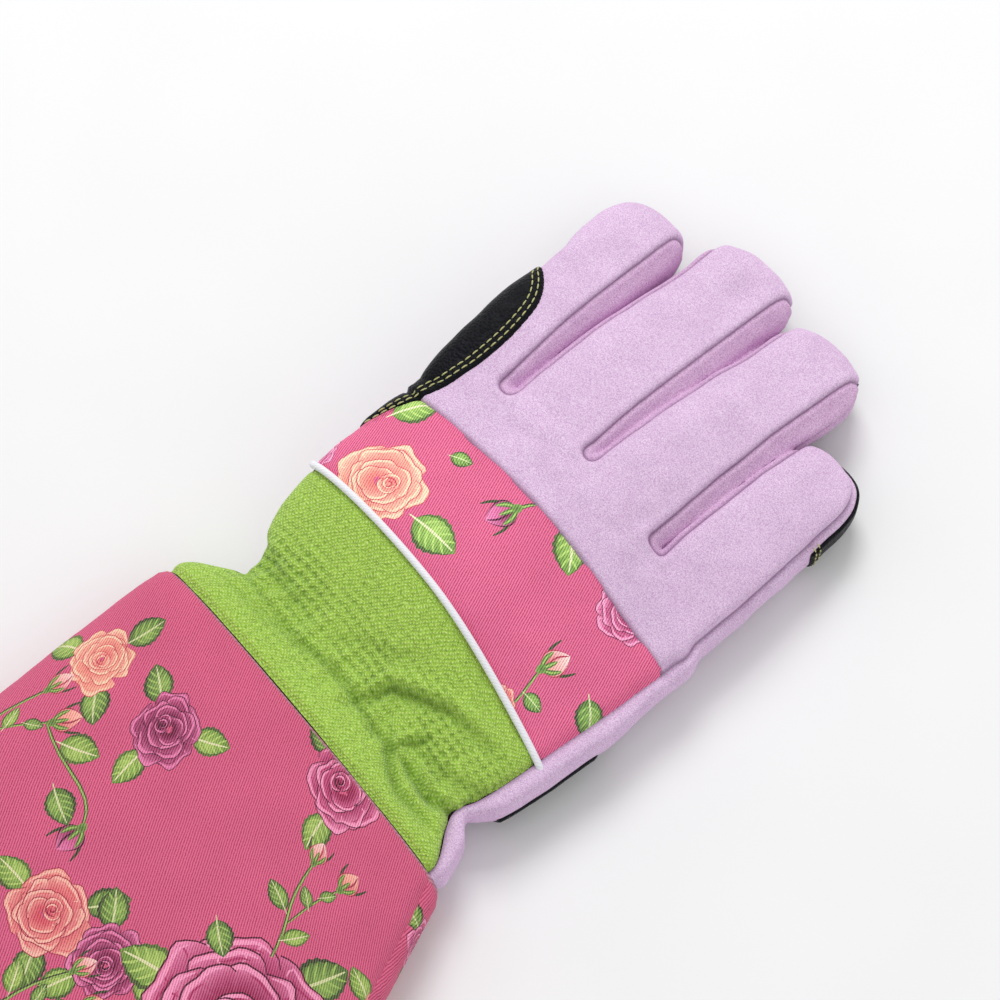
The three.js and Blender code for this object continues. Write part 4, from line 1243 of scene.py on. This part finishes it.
def outline_of(panel, v0, v1, low=None, high=None):
    """A panel's outline, with its two ends moved by curves of the distance across."""
    rows = panel.rows[(panel.rows >= v0) & (panel.rows <= v1)]
    left = np.column_stack([np.interp(rows, panel.rows, panel.limits[:, 0]), rows])
    right = np.column_stack([np.interp(rows, panel.rows, panel.limits[:, 1]), rows])
    if low is not None:
        left = left[left[:, 1] > low(left[:, 0]) + 0.7]
        right = right[right[:, 1] > low(right[:, 0]) + 0.7]
        left = left[left[:, 1] < high(left[:, 0]) - 0.7]
        right = right[right[:, 1] < high(right[:, 0]) - 0.7]
    xs0 = np.linspace(left[0, 0], right[0, 0], 60)[1:-1]
    xs1 = np.linspace(right[-1, 0], left[-1, 0], 60)[1:-1]
    ys0 = low(xs0) if low is not None else np.full(len(xs0), rows[0])
    ys1 = high(xs1) if low is not None else np.full(len(xs1), rows[-1])
    return np.concatenate([right, np.column_stack([xs1, ys1]), left[::-1], np.column_stack([xs0, ys0])])


# Back panel of the hand

back = Panel(np.arange(36, 94, 1.0), hand_section)


def back_line(line):
    """The distance along at which a seam crosses the panel, by the distance across."""
    xs = np.linspace(-90, 90, 181)
    v = np.full(len(xs), 60.0)
    for _ in range(12):
        v = line(back.at(xs, v)[:, 0])
    return lambda x: np.interp(x, xs, v)


back_art = Art()
back_art.stem([(-3, 87), (-5, 82), (-6, 79)], 1.3, GREENS)
back_art.leaf(-52, 74, 15, 1.15, GREENS_2)
back_art.leaf(-21, 58, 16, 0.12, GREENS_2)
back_art.rose(-60, 51, 8, 0.4, PINK, seed=4)
back_art.rose(-36, 58, 13.6, 0.5, CREAM, seed=12)
back_art.bud(-5, 82, 9.5, -1.9, MAUVE, GREENS)
back_art.leaf(8, 92, 15, -0.75, GREENS_2)
back_art.rose(38, 90, 10.5, 1.0, PINK, seed=7)
back_art.stem([(38, 45), (38, 51), (36, 57), (35.5, 60)], 0.9, GREENS)
back_art.leaf(38, 52, 7, 0.1, GREENS)
back_art.bud(35.4, 60, 9, 1.35, CORAL, GREENS)
back_art.rose(34, 43, 6.5, 1.0, PEACH, seed=9)
back_art.leaf(50, 66, 12, -0.6, GREENS)
back_art.leaf(-30, 78, 7, 0.5, GREENS)


def back_cloth(q):
    return dressed(back.at(q[:, 0], q[:, 1]), "panel")


back_low = back_line(lambda x: piping_y(x) - 0.5)
back_high = back_line(lambda x: suede_y(x) + 0.9)
printed("back_print", outline_of(back, 37, 92, back_low, back_high),
        back_art, 1.5, back_cloth, BACK_TWILL, ["back_panel"])


# Cuff

ROWS = np.arange(0, CUFF + 0.01, 1.0)
cuff_top = Panel(ROWS, cuff_section)
cuff_low = Panel(ROWS, cuff_section, under=True)


def cuff_relief(p, v):
    """How far the cuff's cloth stands out: its waves, seams, puckers and hem."""
    out = 0.8 * ripple(p, 75, 41) * smooth(v / 30) + 0.22 * ripple(p, 26, 42)
    out -= 1.7 * np.exp(-(v / 1.5) ** 2)
    side = p[:, 2] - seam_height(p[:, 0], p[:, 1])
    out += groove(side, 0.9, 0.9) + 0.25 * np.exp(-((np.abs(side) - 2.2) / 1.3) ** 2)
    pucker = np.exp(-(v / 7) ** 2) * np.sin(p[:, 0] * 0.9 + 2 * np.sin(p[:, 0] / 9))
    out += 0.22 * pucker
    out += 0.55 * smooth((v - (CUFF - HEM)) / 0.8) + groove(v - (CUFF - HEM + 1.6), 0.3, 0.4)
    return out - 0.5 * smooth((v - CUFF + 1.2) / 1.2)


def cuff_cloth(panel):
    """The way from a panel's flat cloth to its place on the cuff."""
    def to_cloth(q):
        x, v = q[:, 0], q[:, 1]
        p = panel.at(x, v)
        n = panel.normal(x, np.clip(v, 1.6, CUFF - 1.6))
        p = p + n * cuff_relief(p, v)[:, None]
        p[:, 2] = np.maximum(p[:, 2], 0.03)
        return p
    return to_cloth


def spray(art, x, y, turn, seed):
    """A stem with two buds and leaves."""
    r = np.random.default_rng(seed)
    c, s = math.cos(turn), math.sin(turn)

    def at(*pairs):
        return [(x + a * c - b * s, y + a * s + b * c) for a, b in pairs]

    art.stem(at((0, 0), (10, 1), (20, -1), (33, 2)), 1.1, GREENS)
    art.stem(at((12, 1), (22, 6), (30, 12)), 0.8, GREENS)
    leaves = zip(at((6, 1), (15, -1), (19, 5), (24, 7)), (9, 10, 7, 6), (0.9, -0.8, -0.5, 0.9))
    for (px, py), size, turn_by in leaves:
        art.leaf(px, py, size, turn + turn_by, GREENS if r.random() < 0.5 else GREENS_2, 0.3)
    (bx, by), (dx, dy) = at((33, 2), (30, 12))
    art.bud(bx, by, 7, turn + 0.1, CORAL, GREENS)
    art.bud(dx, dy, 8, turn + 0.5, PEACH, GREENS)


def roses(art, apart, base, share, greens, rows):
    """Roses with three leaves under each: x, distance down the cuff, size, turn, colours and seed."""
    for x, v, size, turn, tones, seed in rows:
        for k in range(3):
            a = turn + 2.1 * k + 0.6
            art.leaf(x + math.cos(a) * size * apart, v + math.sin(a) * size * apart,
                     base + size * share, a, greens[(seed + k) % 2])
        art.rose(x, v, size, turn, tones, seed=seed)


cuff_art = Art()
roses(cuff_art, 0.75, 7, 0.45, (GREENS_2, GREENS), (
        (-54, 30, 10.0, 0.2, CREAM, 21), (-24, 32, 10.5, 1.0, MAUVE, 22), (-12, 90, 13, 0.6, PEACH, 23),
        (9, 90, 12, 1.4, MAUVE, 24), (46, 80, 25, 0.3, PINK, 25), (25, 5, 13, 0.8, PINK, 26),
        (77, 52, 10, 0.9, CREAM, 27), (-52, 98, 11, 0.4, PINK, 28), (-40, 150, 22, 1.2, PINK, 29),
        (20, 140, 11, 0.5, CREAM, 30), (62, 132, 11, 0.1, MAUVE, 31), (85, 112, 10, 0.9, PEACH, 32),
        (5, 178, 13, 0.7, MAUVE, 33), (60, 182, 24, 0.2, PINK, 34), (-68, 180, 10, 0.6, CREAM, 35),
        (95, 168, 11, 0.7, CREAM, 36)))
cuff_art.stem([(-52, 50), (-42, 55), (-30, 57), (-24, 61), (-22, 66)], 1.1, GREENS)
cuff_art.bud(-22, 66, 9, 1.7, MAUVE, GREENS)
cuff_art.leaf(-44, 52, 12, -0.3, GREENS_2)
cuff_art.leaf(-36, 62, 12, 0.5, GREENS)
cuff_art.leaf(24, 62, 11, 0.7, GREENS)
for x, v, turn, seed in ((42, 60, -1.9, 51), (-70, 75, -1.3, 52), (-10, 128, -1.2, 53), (88, 150, -1.8, 54),
                         (-85, 130, -1.5, 55), (20, 175, -1.4, 56), (-30, 195, -1.5, 57)):
    spray(cuff_art, x, v, turn, seed)

low_art = Art()
roses(low_art, 0.7, 3, 0.8, (GREENS, GREENS), (
        (-60, 60, 12, 0.2, CREAM, 61), (-10, 30, 11, 1.0, MAUVE, 62), (40, 70, 22, 0.6, PINK, 63),
        (-30, 120, 20, 0.4, PINK, 64), (70, 130, 12, 1.2, PEACH, 65), (15, 165, 12, 0.5, MAUVE, 66),
        (-75, 170, 11, 0.1, CREAM, 67), (70, 18, 9, 0.9, PINK, 68), (-68, 22, 8, 0.7, PINK, 69)))

fine = 2.2
printed("cuff_print_back", outline_of(cuff_top, 0.9, CUFF), cuff_art, fine, cuff_cloth(cuff_top),
        CUFF_TWILL, ["cuff_back"])
printed("cuff_print_palm", outline_of(cuff_low, 0.9, CUFF), low_art, fine * 1.4, cuff_cloth(cuff_low),
        CUFF_TWILL, ["cuff_palm"])

# The cuff's inside, and its rim
MOUTH_SIDES = 120
rows = np.concatenate([np.arange(0.5, CUFF - 1, 4.0), [CUFF - 1.0, CUFF - 0.4, CUFF - 0.05]])
angle = np.arange(MOUTH_SIDES) * 2 * math.pi / MOUTH_SIDES
rings = [cuff_section(v, angle, WALL + 0.3) for v in rows]
rings.append(cuff_section(CUFF + 0.25, angle, WALL / 2))
rings.append(cuff_section(CUFF, angle, 0.35))
p = np.concatenate(rings)
piece("cuff_reverse", p, ring_quads(len(rings), MOUTH_SIDES), LINING,
      cloth_mm=p[:, :2])


# Floor

FLOOR_COLOUR = (0.93, 0.93, 0.935)
FLOOR_REACH = 4.0


def floor_material():
    m = Nodes("pale_floor", 0.9, Specular_IOR_Level=0.2)
    soft = m.noise(m.place(), 0.02, 1)
    shade = tuple(c * 0.985 for c in FLOOR_COLOUR) + (1,)
    return m.finish(m.ramp(soft, [(0.3, shade), (0.7, FLOOR_COLOUR + (1,))]), soft, 0.0, 0.0)


floor_mesh = bpy.data.meshes.new("floor")
corners = [(x * FLOOR_REACH, y * FLOOR_REACH, 0) for x, y in ((-1, -1), (1, -1), (1, 1), (-1, 1))]
floor_mesh.from_pydata(corners, [], [(0, 1, 2, 3)])
floor = bpy.data.objects.new("floor", floor_mesh)
bpy.context.scene.collection.objects.link(floor)
floor_mesh.materials.append(floor_material())


# Light and camera

WORLD_STRENGTH = 0.62
world = bpy.data.worlds.new("studio")
bpy.context.scene.world = world
world.use_nodes = True
background = world.node_tree.nodes["Background"]
background.inputs["Color"].default_value = (1, 1, 1, 1)
background.inputs["Strength"].default_value = WORLD_STRENGTH


def lamp(name, place, size, power):
    """A square lamp turned to the glove, in metres and watts."""
    light = bpy.data.lights.new(name, "AREA")
    light.shape = "SQUARE"
    light.size = size
    light.energy = power
    o = bpy.data.objects.new(name, light)
    o.location = place
    o.rotation_euler = (Vector((0, 0.05, 0)) - Vector(place)).to_track_quat("-Z", "Y").to_euler()
    bpy.context.scene.collection.objects.link(o)


lamp("key", (-0.9, 0.75, 1.4), 0.8, 15)
lamp("fill", (1.2, -0.5, 1.3), 1.6, 3)
bpy.context.scene.view_settings.view_transform = "Standard"

ELEVATION = math.radians(65)
FLOOR_TURN = math.radians(38.7)
DISTANCE = 1.3  # metres from the camera to its target
SCALE = 3.5  # pixels of the photo's 1000 to one millimetre at the target
SENSOR = 36.0
right = Vector((math.sin(FLOOR_TURN), math.cos(FLOOR_TURN), 0))
forward = Vector((-math.cos(FLOOR_TURN), math.sin(FLOOR_TURN), 0))
back_way = Vector((0, 0, 1)) * math.sin(ELEVATION) - forward * math.cos(ELEVATION)
up_way = forward * math.sin(ELEVATION) + Vector((0, 0, 1)) * math.cos(ELEVATION)
target = Vector((np.array([-20.06, 85.85, 20.0]) + SHIFT) / 1000)
camera = bpy.data.cameras.new("camera")
camera.sensor_width = SENSOR
camera.lens = SENSOR * SCALE * DISTANCE
camera.clip_start = 0.05
holder = bpy.data.objects.new("camera", camera)
turn = Matrix((right, up_way, back_way)).transposed().to_4x4()
holder.matrix_world = Matrix.Translation(target + back_way * DISTANCE) @ turn
bpy.context.scene.collection.objects.link(holder)
bpy.context.scene.camera = holder
